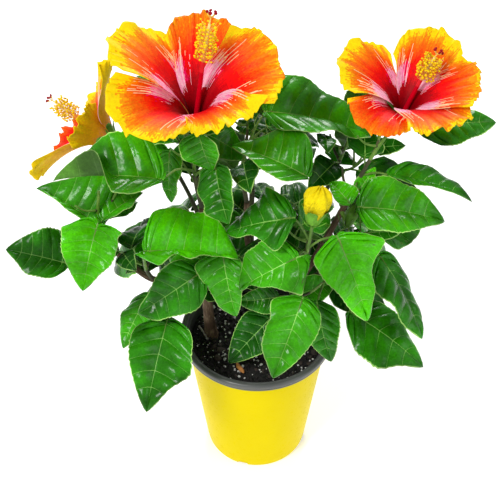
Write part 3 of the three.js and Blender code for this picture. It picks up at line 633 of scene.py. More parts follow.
def addNode(tree, kind, inputs=None, **settings):
    made = tree.nodes.new("ShaderNode" + kind)
    for name, value in settings.items():
        setattr(made, name, value)
    for name, value in (inputs or {}).items():
        connect(tree, made.inputs[name], value)
    return made


def newMaterial(name, gloss, level=0.5):
    material = bpy.data.materials.new(name)
    material.use_nodes = True
    tree = material.node_tree
    paint(tree, "Roughness", gloss)
    paint(tree, "Specular IOR Level", level)
    return material, tree, addNode(tree, "TexCoord").outputs["Object"]


def paint(tree, name, value):
    connect(tree, tree.nodes["Principled BSDF"].inputs[name], value)


def mixColours(tree, factor, first, second, blend="MIX"):
    mix = addNode(tree, "Mix", {0: factor, 6: first, 7: second}, data_type="RGBA", blend_type=blend)
    return mix.outputs[2]


def multiplied(tree, first, second):
    return mixColours(tree, 1.0, first, second, "MULTIPLY")


def ramp(tree, factor, stops):
    made = addNode(tree, "ValToRGB", {"Fac": factor})
    while len(made.color_ramp.elements) < len(stops):
        made.color_ramp.elements.new(0.5)
    for element, (place, colour) in zip(made.color_ramp.elements, stops):
        element.position = place
        element.color = colour
    return made.outputs["Color"]


def shade(colour, factor=1):
    return tuple(min(channel * factor, 1) for channel in colour) + (1,)


# A grey from one tone to another
def tone(tree, factor, low, high, start=0.3, end=0.7):
    return ramp(tree, factor, [(start, (low, low, low, 1)), (end, (high, high, high, 1))])


def noise(tree, vector, scale, detail=3.0, rough=0.5):
    made = addNode(tree, "TexNoise", {"Vector": vector, "Scale": scale, "Detail": detail, "Roughness": rough})
    return made.outputs["Fac"]


def cells(tree, place, scale, feature):
    return addNode(tree, "TexVoronoi", {"Vector": place, "Scale": scale}, feature=feature).outputs["Distance"]


def total(tree, first, second, operation="ADD"):
    return addNode(tree, "Math", {0: first, 1: second}, operation=operation).outputs[0]


def scaled(tree, value, factor):
    return total(tree, value, factor, "MULTIPLY")


def addBump(tree, height, strength, distance):
    bump = addNode(tree, "Bump", {"Height": height, "Strength": strength, "Distance": distance})
    paint(tree, "Normal", bump.outputs["Normal"])


def leafMaterial(name, colour, gloss, low=0.42):
    material, tree, place = newMaterial(name, gloss, 0.2)
    blotch = tone(tree, noise(tree, place, 24, 2), 0, 1, 0.38, 0.62)
    base = mixColours(tree, blotch, shade(colour, low), shade(colour, 1.25))
    net = tone(tree, cells(tree, place, 230, "DISTANCE_TO_EDGE"), 1.22, 0.98, 0, 0.08)
    speckle = tone(tree, noise(tree, place, 420, 4, 0.6), 0.82, 1.12)
    paint(tree, "Base Color", multiplied(tree, multiplied(tree, base, net), speckle))
    paint(tree, "Roughness", tone(tree, noise(tree, place, 90), gloss - 0.07, gloss + 0.1))
    swell = scaled(tree, noise(tree, place, 150), 1.4)
    addBump(tree, total(tree, cells(tree, place, 330, "SMOOTH_F1"), swell), 0.35, 0.0006)
    return material


# Each green: colour, gloss, and how dark its blotches are
leafLook = {
    "leaf bright": ((0.062, 0.45, 0.001), 0.22, 0.72),
    "leaf fresh": ((0.043, 0.32, 0.003), 0.22, 0.55),
    "leaf green": ((0.025, 0.22, 0.003), 0.22),
    # The deep green is painted shade, for leaves inside the crown and low under it
    "leaf deep": ((0.011, 0.115, 0.003), 0.27),
    "leaf vein": ((0.27, 0.60, 0.11), 0.4),
    "leaf margin": ((0.34, 0.62, 0.14), 0.4),
    "leaf under side": ((0.075, 0.22, 0.02), 0.55),
    "leaf under vein": ((0.14, 0.32, 0.05), 0.5),
}
leafMaterials = [leafMaterial(name, *look) for name, look in leafLook.items()]
veinSlot, marginSlot, underSlot, underVeinSlot = 4, 5, 6, 7
calyxGreen = leafMaterial("calyx", (0.14, 0.36, 0.03), 0.42)


def barkMaterial(name, low, high, gloss):
    material, tree, place = newMaterial(name, gloss)
    along = addNode(tree, "UVMap", uv_map="along").outputs["UV"]
    streaked = addNode(tree, "Mapping", {"Vector": along, "Scale": (14.0, 5.0, 1.0)}).outputs["Vector"]
    grain = noise(tree, streaked, 1.6, 5, 0.65)
    mixed = scaled(tree, total(tree, grain, noise(tree, place, 70)), 0.5)
    stops = [(0.3, shade(low, 0.8)), (0.5, shade(low)), (0.68, shade(high))]
    paint(tree, "Base Color", ramp(tree, mixed, stops))
    addBump(tree, total(tree, grain, noise(tree, place, 600, 4)), 0.7, 0.0008)
    return material


bark = barkMaterial("bark", (0.10, 0.055, 0.028), (0.34, 0.24, 0.15), 0.85)
# The young bark's dark green is partly its own colour and partly painted shade, so that thin boughs and twigs
# sink into the crown's shade
youngAndShadedBark = barkMaterial("young bark", (0.05, 0.055, 0.018), (0.15, 0.15, 0.05), 0.6)
stalkGreen = barkMaterial("leaf stalk", (0.11, 0.25, 0.02), (0.27, 0.46, 0.08), 0.45)
print("leaf and bark materials made")

# Leaves: rows follow the side veins, columns run from margin to margin
leafMesh = {
    "veins": [0.003, 0.007, 0.028, 0.19, 0.37, 0.55, 0.73],
    "between": [0.14, 0.38, 0.62, 0.86],
    "teeth": [-1.0, 0.7, -0.8, 0.2],
    "across": [0.2, 0.42, 0.62, 0.8],
    "veinWidth": 0.55,
    "midrib": 1.1,
    "margin": 0.75,
    "thickness": 0.45,
    "tooth": 0.018,
    "quilt": 0.034,
    "sweep": 0.26,
    "fan": 0.012,
    "crinkle": 0.07,
}
plainLeafMesh = {
    **leafMesh,
    "veins": [0.01, 0.04, 0.3, 0.58],
    "between": [0.22, 0.62],
    "teeth": [-0.9, 0.6],
    "across": [0.35, 0.7],
}


# Rows across a leaf: share of its length, half a vein's width, tooth, quilt and whether a vein follows
def leafRows(look, length):
    width = look["veinWidth"] / length / 2
    rows = [[0.0006, 0, 0, 0, 0]]
    marks = look["veins"] + [1]
    for start, end in zip(marks[:-1], marks[1:]):
        thin = min(width, start * 0.4)
        rows += [[start, -thin, 1, 0, 1], [start, thin, 1, 0, 0]]
        for share, tooth in zip(look["between"], look["teeth"]):
            rows.append([start + share * (end - start), 0, tooth, math.sin(math.pi * share), 0])
    rows.append([0.9985, 0, 0, 0, 0])
    return np.array(rows).T[:, :, None]


def smooth(low, high, value):
    share = np.clip((value - low) / (high - low), 0, 1)
    return share * share * (3 - 2 * share)


def addLeaf(heap, leaf, tint):
    look = leafMesh if leaf["showing"] else plainLeafMesh
    length = leaf["length"]
    widest = length * leaf["width"]
    share, offset, tooth, quilt, vein = leafRows(look, length)
    far = share + look["sweep"] * (1 - share) * (1 - np.exp(-share / look["fan"]))
    inner = look["midrib"] / 2 * (1 - 0.75 * share) / np.maximum(widest * leafOutline(share), 0.1)
    inner = np.minimum(inner, look["across"][0] * 0.7)
    outer = 1 - look["margin"] / np.maximum(widest * leafOutline(far), 0.1)
    outer = np.maximum(outer, look["across"][-1] + 0.08)
    ones = np.ones_like(share)
    right = np.hstack([inner, *(ones * a for a in look["across"]), outer, ones])
    b = np.hstack([-right[:, ::-1], right])
    size = np.abs(b)
    middle = share + offset * (1 - 0.7 * size)
    u = middle + (far - share) * size**1.1
    half = widest * leafOutline(np.clip(u, 0.0002, 0.9999))
    left, right = leaf.get("wide", (1, 1))
    half = half * (1 + (np.where(b > 0, right, left) - 1) * smooth(0, 0.3, size))
    for side, place, extra, spread in leaf.get("lobes", ()):
        half = half * (1 + np.where(b * side > 0, extra * np.exp(-(((u - place) / spread) ** 2)), 0))
    bite = look["tooth"] * tooth * smooth(0.12, 0.4, u) * (1 - smooth(0.94, 1, u)) * smooth(0.8, 0.95, size)
    left, right = leaf.get("heart", (0.06, 0.06))
    u = u - np.where(b > 0, right, left) * np.sin(np.pi * size**0.8) * np.exp(-share / 0.03)
    grid = bladeAt(leaf, u, b * (1 + bite), half)
    if "flip" in leaf:
        grid = flipOver(leaf, grid, u, b)
    swell = look["quilt"] * length * quilt * np.sin(np.pi * size**0.9)
    groove = -0.35 * np.exp(-((size * half / 1.2) ** 2))
    ripple = half * look["crinkle"] * size**3 * np.sin(17 * u + leaf["wave"] * np.sign(b))
    grid = grid + (swell + groove + ripple)[..., None] * bladeFrame(leaf)[1]
    isVein = (vein[:-1] > 0) & (size[:-1, :-1] + size[1:, 1:] < 1.8)
    isVein[:, b.shape[1] // 2 - 1] = True
    upper, under = np.where(isVein, veinSlot, tint), np.where(isVein, underVeinSlot, underSlot)
    upper[:, [0, -1]] = under[:, [0, -1]] = marginSlot
    addSheet(heap, grid, look["thickness"], upper, under, marginSlot)


# One half of a blade turned up about the midrib from a place along it, so that its under side shows
def flipOver(leaf, grid, u, b):
    side, start, degrees = leaf["flip"]
    forward = bladeFrame(leaf)[0]
    angle = np.radians(degrees) * smooth(start, start + 0.3, u) * side * (b * side > 0)
    middle = bladeAt(leaf, u, 0 * b, 0 * u)
    arm = grid - middle
    turned = arm * np.cos(angle)[..., None] + np.cross(forward, arm) * np.sin(angle)[..., None]
    along = (arm @ forward)[..., None] * forward * (1 - np.cos(angle))[..., None]
    return middle + turned + along


# Which green a leaf takes: those that show have their own, and those inside and below take the deep green as
# painted shade
def leafTint(leaf, random):
    high = leaf["foot"][2] + 0.8 * abs(leaf["foot"][0])
    chance = random()
    if leaf["showing"]:
        return leaf["tint"]
    if leaf["young"] and chance < 0.25:
        return 1
    # Painted shade: low and inner leaves take the deep green, and most higher ones the plain green
    return 2 if high > 300 and chance < 0.7 else 3


def addStalk(heap, leaf):
    path = lineSamples(stalkPath(leaf), 9 if leaf["showing"] else 6)
    thick = growth["stalk"] * (0.62 if leaf.get("young") else 0.85)
    shape = np.linspace(1, 0.72, len(path))
    shape[-2:] = 0.6, 0.3
    shape[0] = 1.35
    addTube(heap, path, thick * shape, 7 if leaf["showing"] else 5, 1)


# Twigs: shares of the solids' radius at the foot and the end, and steps along
twigLook = {
    "sides": 9,
    "knot": 0.16,
    "knots": 5,
    "green": 0.5,
    "stem": (1.0, 0.62, 26),
    "side": (0.72, 0.45, 14),
    "finer": (0.55, 0.36, 10),
}


# A twig is woody up to a share of its length, and green beyond it
def addTwig(heap, points, kind, green):
    start, end, steps = twigLook[kind]
    shares = np.linspace(0, 1, steps)
    radii = growth["twig"] * start + (growth["twig"] * end - growth["twig"] * start) * shares
    knots = np.exp(-(((shares * twigLook["knots"]) % 1 - 0.5) / 0.1) ** 2)
    radii = radii * (1 + twigLook["knot"] * knots)
    addTube(heap, curveAt(points, shares), radii, twigLook["sides"], (shares > green).astype(int))


# How far right, up and ahead of the camera some points are, the first two as shares of the third
def onView(points):
    arm = points - np.array(camera["place"]) * 1000
    tilt = math.radians(camera["tilt"])
    ahead = arm @ np.array([0, math.sin(tilt), -math.cos(tilt)])
    up = arm @ np.array([0, math.cos(tilt), math.sin(tilt)])
    return np.stack([arm[:, 0] / ahead, up / ahead, ahead / 1000], 1)


# The leaves and petals that show, as seen by the camera: a grown leaf in front of them is left out
def showingPlaces():
    share = np.linspace(0.02, 1, 14)[:, None]
    across = np.linspace(-1, 1, 11)[None, :]
    places = []
    for shoot in growing:
        places += [bladeAt(leaf, share, across) for leaf in shoot["leaves"] if leaf["showing"]]
        petals = range(len(shoot["bloom"].get("petals", ())))
        places += [petalAt(shoot["bloom"], k, share, across) for k in petals]
    return onView(np.vstack([place.reshape(-1, 3) for place in places]))


showing = showingPlaces()
hiding = {"near": 0.006, "ahead": 0.002, "most": 2}


def hidesShowing(leaf):
    blade = bladeAt(leaf, np.linspace(0.12, 0.95, 6)[:, None], np.array([[-0.7, 0, 0.7]]))
    mine = onView(blade.reshape(-1, 3))
    apart = np.hypot(mine[:, None, 0] - showing[None, :, 0], mine[:, None, 1] - showing[None, :, 1])
    before = (apart < hiding["near"]) & (mine[:, None, 2] < showing[None, :, 2] - hiding["ahead"])
    return not leaf["showing"] and before.any(1).sum() > hiding["most"]


for index, shoot in enumerate(growing):
    name, random = shoot["name"], seeded(900 + index)
    leafHeap, twigHeap = newHeap(), newHeap()
    addTwig(twigHeap, shoot["stem"], "stem", 0.0 if "length" in shoot["bloom"] else twigLook["green"])
    for points in shoot["side"]:
        addTwig(twigHeap, points, "side", 1.0 if shoot is sprig else twigLook["green"])
    for points in shoot["finer"]:
        addTwig(twigHeap, points, "finer", 0.0)
    for leaf in shoot["leaves"]:
        if not hidesShowing(leaf):
            addLeaf(leafHeap, leaf, leafTint(leaf, random))
            addStalk(twigHeap, leaf)
    stands = [] if shoot is sprig else ["shoot_" + name]
    makePiece("leaves_" + name, leafHeap, leafMaterials, "foliage", *stands)
    makePiece("twigs_" + name, twigHeap, [youngAndShadedBark, stalkGreen], "twig")
print("leaves and twigs made")

# Stems and boughs with bark: ridges along them, leaf scars across them, and a flare at the soil
barkLook = {
    "sides": 22,
    "step": 1.4,
    "ridge": 0.055,
    "scar": 0.07,
    "scarStep": 17,
    "flare": 3.4,
    "flareLobes": 3,
    "greenBelow": 2.5,
}


def makeLimb(limb, flare, seed):
    name, points, start, end = limb
    random = seeded(seed)
    length = sum(np.linalg.norm(np.subtract(b, a)) for a, b in zip(points[:-1], points[1:]))
    shares = np.linspace(0, 1, int(length / barkLook["step"]))[:, None]
    turns = 2 * np.pi * np.arange(barkLook["sides"]) / barkLook["sides"]
    phases = [2 * math.pi * random() for _ in range(6)]
    ridges = 0
    for i, count in enumerate((5, 8, 11)):
        bend = (1.5 + i) * np.sin(shares * (7 + 4 * i) + phases[-1 - i])
        ridges = ridges + np.sin(count * turns + phases[i] + bend) / (i + 2)
    scars = np.exp(-((((shares * length / barkLook["scarStep"] + random()) % 1) - 0.5) / 0.07) ** 2)
    fine = np.sin(shares * 130 + 4 * np.sin(3 * turns + phases[1])) * 0.012
    foot = flare * np.exp(-9 * shares) * (1 + 0.3 * np.cos(barkLook["flareLobes"] * turns + phases[2]))
    radii = start + (end - start) * shares
    radii = radii * (1 + barkLook["ridge"] * ridges + barkLook["scar"] * scars + fine) + foot
    heap = newHeap()
    addTube(heap, curveAt(points, shares.ravel()), radii, barkLook["sides"], 0)
    # Thinner boughs take the young bark, whose darkness is partly painted shade
    makePiece("bark_" + name, heap, [youngAndShadedBark if end < barkLook["greenBelow"] else bark], "bark", name)


for index, limb in enumerate(stems + boughs):
    makeLimb(limb, barkLook["flare"] if index < len(stems) else 0, 31 + index)
print("stems and boughs made")

# Blooms. A petal's colours have a place, so each is a plain colour, dealt out face by face in streaks
tones = {
    "bands": 15,
    "front": [
        (0.0, (0.16, 0.0, 0.004)),
        (0.24, (0.32, 0.0, 0.004)),
        (0.40, (0.46, 0.001, 0.005)),
        (0.46, (0.84, 0.002, 0.006)),
        (0.58, (0.88, 0.004, 0.002)),
        (0.66, (0.90, 0.04, 0.003)),
        (0.82, (0.92, 0.17, 0.004)),
        (0.92, (0.93, 0.38, 0.006)),
        (0.975, (0.96, 0.76, 0.004)),
    ],
    "petal ray": [(0.97, 0.56, 0.66), (0.98, 0.64, 0.34)],
    "petal blush": [(0.96, 0.22, 0.46), (0.86, 0.01, 0.13)],
    "petal back": [(0.80, 0.26, 0.08), (0.88, 0.36, 0.01), (0.92, 0.46, 0.005), (0.96, 0.64, 0.004)],
    "bud": [(0.42, 0.38, 0.01), (0.62, 0.50, 0.006), (0.80, 0.64, 0.006)],
    "green bud": [(0.20, 0.36, 0.04), (0.45, 0.50, 0.05), (0.80, 0.62, 0.05)],
    "column": [(0.60, 0.0, 0.012), (0.78, 0.02, 0.03), (0.92, 0.42, 0.10), (0.95, 0.74, 0.26)],
    "filament": (0.94, 0.66, 0.14),
    "anther": (0.94, 0.66, 0.01),
    "stigma pad": (0.34, 0.006, 0.015),
}


def bloomMaterial(name, colour, gloss):
    material, tree, place = newMaterial(name, gloss, 0.06)
    patches, grain = noise(tree, place, 60), noise(tree, place, 420, 4, 0.6)
    both = multiplied(tree, tone(tree, patches, 0.88, 1.06), tone(tree, grain, 0.86, 1.08))
    paint(tree, "Base Color", multiplied(tree, shade(colour), both))
    addBump(tree, total(tree, grain, patches), 0.4, 0.0006)
    return material


def toneMaterials(name, gloss, colours=None):
    colours = colours or tones[name]
    return [bloomMaterial(f"{name} {i + 1}", colour, gloss) for i, colour in enumerate(colours)]


bandPlaces = (np.arange(tones["bands"]) + 0.5) / tones["bands"]
stops, stopColours = zip(*tones["front"])
bandColours = np.stack([np.interp(bandPlaces, stops, channel) for channel in zip(*stopColours)], 1).tolist()
petalMaterials = (toneMaterials("petal", 0.45, bandColours) + toneMaterials("petal ray", 0.5)
                  + toneMaterials("petal blush", 0.5) + toneMaterials("petal back", 0.6))
rayBand, blushBand, backBand = tones["bands"], tones["bands"] + 2, tones["bands"] + 4
budMaterials = {kind: toneMaterials(kind, 0.5) for kind in ("bud", "green bud")}
stamenMaterials = toneMaterials("column", 0.45)
for name, gloss in (("filament", 0.5), ("anther", 0.6), ("stigma pad", 0.6)):
    stamenMaterials.append(bloomMaterial(name, tones[name], gloss))
filamentSlot, antherSlot, padSlot = 4, 5, 6

bloomLook = {
    "rows": 44,
    "columns": 113,
    "thickness": 0.45,
    "overlap": 1.1,
    "frill": 2.6,
    "crimp": 1.2,
    "scallop": 0.014,
    "filaments": 150,
    "filamentLength": (5.0, 4.5),
    "antherRadius": 1.05,
    "anthers": (0.52, 0.84),
    "padRadius": 1.35,
    "calyxLobes": 5,
    "calyxLength": 16,
    "bracts": 7,
    "bractLength": 11,
}


# A petal's points: near its edges it opens as its neighbour does, and at the throat it overlaps its neighbour
def shapedPetal(bloom, k, s, t):
    way, opening, length, spread, tilt, low, high, curl = bloom["shapes"][k]
    beside = np.where(t[..., None] > 0, bloom["shapes"][(k + 1) % 5], bloom["shapes"][k - 1])
    share = 0.5 * np.abs(t) ** 1.5
    opening = opening + (beside[..., 1] - opening) * share
    curl = curl + (beside[..., 7] - curl) * share
    length = length + (beside[..., 2] - length) * share * 0.5
    phase = 1.9 * k + 0.6
    edge = s**7
    outline = 1 + edge * bloomLook["scallop"] * (np.sin(11 * t + phase) + 0.5 * np.sin(27 * t + 2 * phase))
    wave = bloomLook["frill"] * edge * np.sin(14 * t + 1.7 * phase + 1.3 * np.sin(5 * t))
    crimp = bloomLook["crimp"] * s**14 * np.sin(37 * t + 2.3 * phase + 2 * np.sin(9 * t))
    reach = s * (1 - np.where(t > 0, high, low) * np.abs(t) ** 3) * outline
    wide = spread + max(0, 58 - spread) * (1 - smooth(0.34, 0.85, s))
    over = bloomLook["overlap"] * t * np.sin(np.pi * s) ** 0.6
    sway = 0.35 * bloom["ruffle"] * np.sin(2.1 * np.pi * t + 1.9 * k) * reach**5
    lift = tilt * length * t * reach + (wave + crimp) + sway + over
    return liftedPetal(bloom, np.radians(way + wide * t), petalProfile(opening, length, reach, curl), lift)


# A closed ball, as points and faces
def ball(sides, rings):
    rise = np.pi * np.arange(1, rings)[:, None] / rings - np.pi / 2
    turn = 2 * np.pi * np.arange(sides) / sides
    ring = np.stack([np.cos(rise) * np.cos(turn), np.cos(rise) * np.sin(turn), np.sin(rise) + 0 * turn], 2)
    return np.vstack([ring.reshape(-1, 3), [[0, 0, -1], [0, 0, 1]]]), closedFaces(rings - 1, sides)


def addLump(heap, shape, centre, size, turnBy, slot):
    points, faces = shape
    addFaces(heap, (points * size) @ turnBy.T + centre, faces, [slot] * len(faces), points[:, ::2] / 2 + 0.5)


def anyTurn(random):
    forward = heading(360 * random(), 180 * random() - 90)
    side = unit(np.cross(forward, [0.3, 0.5, 0.81]))
    return np.stack([side, np.cross(forward, side), forward], 1)


def sheetShares(rows, columns):
    return np.linspace(0, 1, rows)[:, None], np.linspace(-1, 1, columns)[None, :]


# A ring of pointed lobes that hugs the petals from outside, at some radii along the axis
def addCalyx(heap, bloom, length, shares, radii):
    s, t = sheetShares(16, 9)
    lobes = bloomLook["calyxLobes"]
    narrow = np.where(s < 0.5, 1.04, 1.04 * np.sqrt(np.clip(1 - ((s - 0.5) / 0.52) ** 1.6, 0, 1)))
    for k in range(lobes):
        turn = np.radians(bloom.get("phase", 0) + 360 / lobes * (k + 0.5) + 180 / lobes * narrow * t)
        radius = np.interp(s, shares, radii) + 0.5 * k / lobes + 1.6 * s**5 + 0.5 * (1 - t * t) * s
        addSheet(heap, roundAxis(bloom, turn, radius, -5 + (length + 5) * s)[:, ::-1], 0.5)


def addBracts(heap, bloom):
    axis, first, second = bloomFrame(bloom)
    s, t = sheetShares(9, 5)
    length = bloomLook["bractLength"]
    out = 2.4 + length * 0.85 * s**0.9
    rise = -5 + length * 0.75 * s**1.5
    half = 0.95 * np.sqrt(np.clip(np.sin(np.pi * (0.12 + 0.86 * s)), 0, 1)) * (1 - 0.6 * s)
    for k in range(bloomLook["bracts"]):
        turn = math.radians(360 / bloomLook["bracts"] * k + 20)
        radial = math.cos(turn) * first + math.sin(turn) * second
        grid = bloom["base"] + out[..., None] * radial + (rise + 0.5 * t * t)[..., None] * axis
        addSheet(heap, grid + (half * t)[..., None] * np.cross(axis, radial), 0.5)


def addStamens(heap, bloom, random):
    path = columnPath(bloom)
    shares = np.linspace(0, 0.88, 30)
    skin = np.clip((shares - 0.36) / 0.3 * 3, 0, 3).round().astype(int)
    addTube(heap, curveAt(path, shares), 2.5 - 1.6 * shares, 12, skin)
    tip = curveAt(path, [0.86, 1.0])
    axis = unit(tip[1] - tip[0])
    first = unit(np.cross(axis, [0.2, 0.9, 0.4]))
    second = np.cross(axis, first)
    anther, pad = ball(8, 6), ball(14, 10)
    low, high = bloomLook["anthers"]
    for i in range(bloomLook["filaments"]):
        share = low + (high - low) * (i + random()) / bloomLook["filaments"]
        foot, ahead = curveAt(path, [share, share + 0.02])
        turn = math.radians(growth["goldenTurn"] * i + 20 * random())
        out = unit(math.cos(turn) * first + math.sin(turn) * second)
        length = bloomLook["filamentLength"][0] + bloomLook["filamentLength"][1] * random()
        along = (0.25 + 0.4 * random()) * unit(ahead - foot)
        points = [foot, foot + length * (0.55 * out + 0.12 * along), foot + length * (out + along)]
        addTube(heap, lineSamples(points, 5), [0.24, 0.2, 0.18, 0.16, 0.14], 5, filamentSlot)
        size = bloomLook["antherRadius"] * np.array([1.25, 0.85, 0.9]) * (0.85 + 0.3 * random())
        addLump(heap, anther, points[-1], size, anyTurn(random), antherSlot)
    style = curveAt(path, np.linspace(0.86, 0.94, 5))
    addTube(heap, style, [0.75, 0.7, 0.65, 0.6, 0.6], 8, filamentSlot)
    for k in range(5):
        turn = 2 * math.pi * (k + 0.3 * random()) / 5
        out = math.cos(turn) * first + math.sin(turn) * second
        end = tip[1] + 3.7 * out - 0.6 * axis * random()
        points = [style[-1], (style[-1] + end) / 2 + 0.8 * out, end]
        addTube(heap, lineSamples(points, 7), np.full(7, 0.42), 6, filamentSlot)
        size = bloomLook["padRadius"] * np.array([1.05, 1.0, 0.68]) * (0.92 + 0.2 * random())
        addLump(heap, pad, end, size, anyTurn(random), padSlot)


# Random numbers smoothed along rows and across columns, spread evenly from 0 to 1
def streaks(source, shape, along, across):
    rough = source.random_sample((shape[0] + along, shape[1] + across))
    rough = sum(rough[i : i + shape[0]] for i in range(along))
    rough = sum(rough[:, i : i + shape[1]] for i in range(across))
    return np.argsort(np.argsort(rough.ravel())).reshape(shape) / rough.size


# The colour of each face: bands from throat to rim, a blush round the throat and pale rays near the edges
def petalSlots(s, t, flush, source):
    shape = (s.size, t.size)
    grain = source.random_sample(shape)
    broad = streaks(source, shape, 30, 7)
    fine = streaks(source, shape, 36, 1)
    zone = s * (1 + 0.14 * np.abs(t) ** 9 * s) + s * (flush + 0.12 * (broad - 0.5) + 0.06 * (fine - 0.5))
    front = np.clip(zone * tones["bands"] + grain - 0.5, 0, tones["bands"] - 1).astype(int)
    edge = smooth(0.25, 0.8, np.abs(t + 0.04))
    pink = edge * smooth(0.33, 0.4, s) * (1 - smooth(0.48, 0.68, s))
    front = np.where(0.4 * fine + 0.6 * grain < 1.15 * pink, blushBand + 1, front)
    front = np.where(0.4 * fine + 0.6 * grain < 1.05 * pink * smooth(0.45, 0.9, edge), blushBand, front)
    ray = edge * smooth(0.3, 0.39, s) * (1 - smooth(0.48, 0.88, s))
    front = np.where(fine > 1 - 0.62 * ray, np.where(s + 0.1 * grain < 0.64, rayBand, rayBand + 1), front)
    back = backBand + np.clip(zone * 3.6 + grain - 0.7, 0, 3).astype(int)
    return front, back


def addPetals(heap, bloom, source):
    s, t = sheetShares(bloomLook["rows"], bloomLook["columns"])
    s = s**0.9
    for k, flush in enumerate(bloom["flushes"]):
        grid = shapedPetal(bloom, k, s + 0 * t, t + 0 * s)
        front, back = petalSlots((s[1:] + s[:-1]) / 2, (t[:, 1:] + t[:, :-1]) / 2, flush, source)
        addSheet(heap, grid, bloomLook["thickness"], front, back)


# A bud's calyx has three radii as shares of its width, and covers a share of its length
budLook = {
    "rows": 26,
    "columns": 33,
    "wrap": 66,
    "twist": 40,
    "fold": 0.13,
    "stretch": 1.04,
    "thickness": 0.5,
    "along": [0, 0.15, 0.4, 0.65, 0.82, 0.93, 1],
    "radii": [0.3, 0.62, 0.92, 1.04, 0.9, 0.52, 0.12],
    "hug": (0.55, 0.72, 0.98),
    "cover": 0.46,
}


# A furled bud: petals wrapped round each other, crumpled at the mouth
def addBud(heap, bloom, random):
    s, t = sheetShares(budLook["rows"], budLook["columns"])
    source = np.random.RandomState(int(1000 * random()))
    for k in range(5):
        grain = source.random_sample((budLook["rows"] - 1, budLook["columns"] - 1))
        slots = np.clip(3.4 * (s[1:] + s[:-1]) / 2 + grain - 0.6, 0, 2).astype(int)
        phase = 6.3 * random()
        size = bloom["width"] * (0.92 + 0.16 * random())
        radius = size * np.interp(s, budLook["along"], budLook["radii"])
        crumple = s * (1 - s**3) * (1.1 * np.sin(7 * t + phase) + 0.6 * np.sin(15 * t + 2 * phase + 5 * s))
        turn = np.radians(72 * k + budLook["wrap"] * t + budLook["twist"] * s)
        fold = 1 + budLook["fold"] * s * np.cos(5 * turn)
        mouth = 1 - 0.05 * t * t + 0.04 * np.sin(9 * t + phase)
        rise = budLook["stretch"] * bloom["length"] * s * mouth * (0.94 + 0.02 * k)
        grid = roundAxis(bloom, turn, radius * (1 + 0.1 * t) * fold + crumple, rise)
        addSheet(heap, grid[:, ::-1], budLook["thickness"], slots, slots, 2)


for index, shoot in enumerate(growing):
    name, bloom, random = shoot["name"], shoot["bloom"], seeded(70 + index)
    petalHeap, stamenHeap, calyxHeap = newHeap(), newHeap(), newHeap()
    if "petals" in bloom:
        addPetals(petalHeap, bloom, np.random.RandomState(500 + index))
        opening = sum(petal[0] for petal in bloom["petals"]) / 5
        out, rise, angle = petalProfile(opening, 90, np.linspace(0, 0.3, 12))
        shares, radii = [0, 0.12, 0.25, *(0.26 + rise[1:] / 21)], [1.6, 3.8, 4.6, *(out[1:] + 1.3)]
        addCalyx(calyxHeap, bloom, bloomLook["calyxLength"], shares, radii)
        addStamens(stamenHeap, bloom, random)
        makePiece("stamens_" + name, stamenHeap, stamenMaterials, "stamen")
        makePiece("petals_" + name, petalHeap, petalMaterials, "petal")
    elif bloom:
        look = {**budLook, **bloom}
        radii = [1.4, *(bloom["width"] * share for share in look["hug"])]
        addCalyx(calyxHeap, bloom, look["cover"] * bloom["length"], [0, 0.2, 0.5, 1], radii)
        if "tones" in bloom:
            addBud(petalHeap, bloom, random)
            makePiece("petals_" + name, petalHeap, budMaterials[bloom["tones"]], "petal")
    if bloom:
        addBracts(calyxHeap, bloom)
        makePiece("calyx_" + name, calyxHeap, [calyxGreen], "twig")
print("blooms made")

# Pot and liner, turned from their profiles: radius and height
potLook = {
    "sides": 160,
    "smooth": 40,
    "profile": [
        [30, 0], [49.6, 0], [50.9, 0.3], [51.8, 1.0], [52.3, 2.0], [52.7, 3.4], [53.4, 8], [60, 64],
        [66, 115], [69.4, 144.5], [69.9, 147.8], [69.95, 148.6], [69.6, 149], [69.0, 149], [68.5, 148.6],
        [68.4, 147.6], [66, 128], [51.2, 3.4], [50.2, 2.6], [30, 2.5],
    ],
    "notches": 4,
    "notchTurn": -106,
    "notchSize": (16, 11, 9),
    "notchEdge": 2.2,
    "colour": (0.84, 0.67, 0.001),
    "liner": [
        [30, 2.9], [49.2, 2.9], [50.4, 4.2], [60, 84], [67.9, 149.3], [72.6, 149.3], [74.4, 149.6],
        [75.2, 150.3], [75.45, 151.2], [75.4, 151.9], [75.1, 152.3], [75.15, 152.7], [75.7, 153.0],
        [76.0, 153.6], [76.0, 155.2], [75.9, 156.2], [75.5, 157.0], [74.8, 157.6], [73.9, 157.95],
        [72.4, 158], [71.2, 157.8], [70.3, 157.2], [69.4, 156.1], [68.8, 154.9], [68.6, 154.2],
        [68.2, 153.9], [67.8, 153.4], [67.3, 151.5], [66.8, 148.5], [66.3, 142], [60, 92], [49.4, 5.2],
        [30, 4.4],
    ],
    "linerColour": (0.085, 0.09, 0.085),
}


# A piece turned from its profile, with rings set into its last face
def turnedPiece(name, profile, sides, rings=0, step=0):
    radius, level = profile[0]
    bpy.ops.object.select_all(action="DESELECT")
    bpy.ops.mesh.primitive_circle_add(
        vertices=sides, radius=radius / 1000, fill_type="NGON", location=(0, 0, level / 1000)
    )
    piece = bpy.context.object
    piece.name = name
    bpy.ops.object.mode_set(mode="EDIT")
    bpy.ops.mesh.select_all(action="SELECT")
    for nextRadius, nextLevel in profile[1:]:
        bpy.ops.mesh.extrude_region_move(TRANSFORM_OT_translate={"value": (0, 0, (nextLevel - level) / 1000)})
        share = nextRadius / radius
        bpy.ops.transform.resize(value=(share, share, 1), center_override=(0, 0, nextLevel / 1000))
        radius, level = nextRadius, nextLevel
    for i in range(rings):
        bpy.ops.mesh.inset(thickness=step / 1000)
    bpy.ops.mesh.select_all(action="SELECT")
    bpy.ops.mesh.normals_make_consistent(inside=False)
    bpy.ops.object.mode_set(mode="OBJECT")
    bpy.ops.object.transform_apply(location=True, rotation=True, scale=True)
    return piece


def selectOnly(piece):
    bpy.ops.object.select_all(action="DESELECT")
    bpy.context.view_layer.objects.active = piece
    piece.select_set(True)


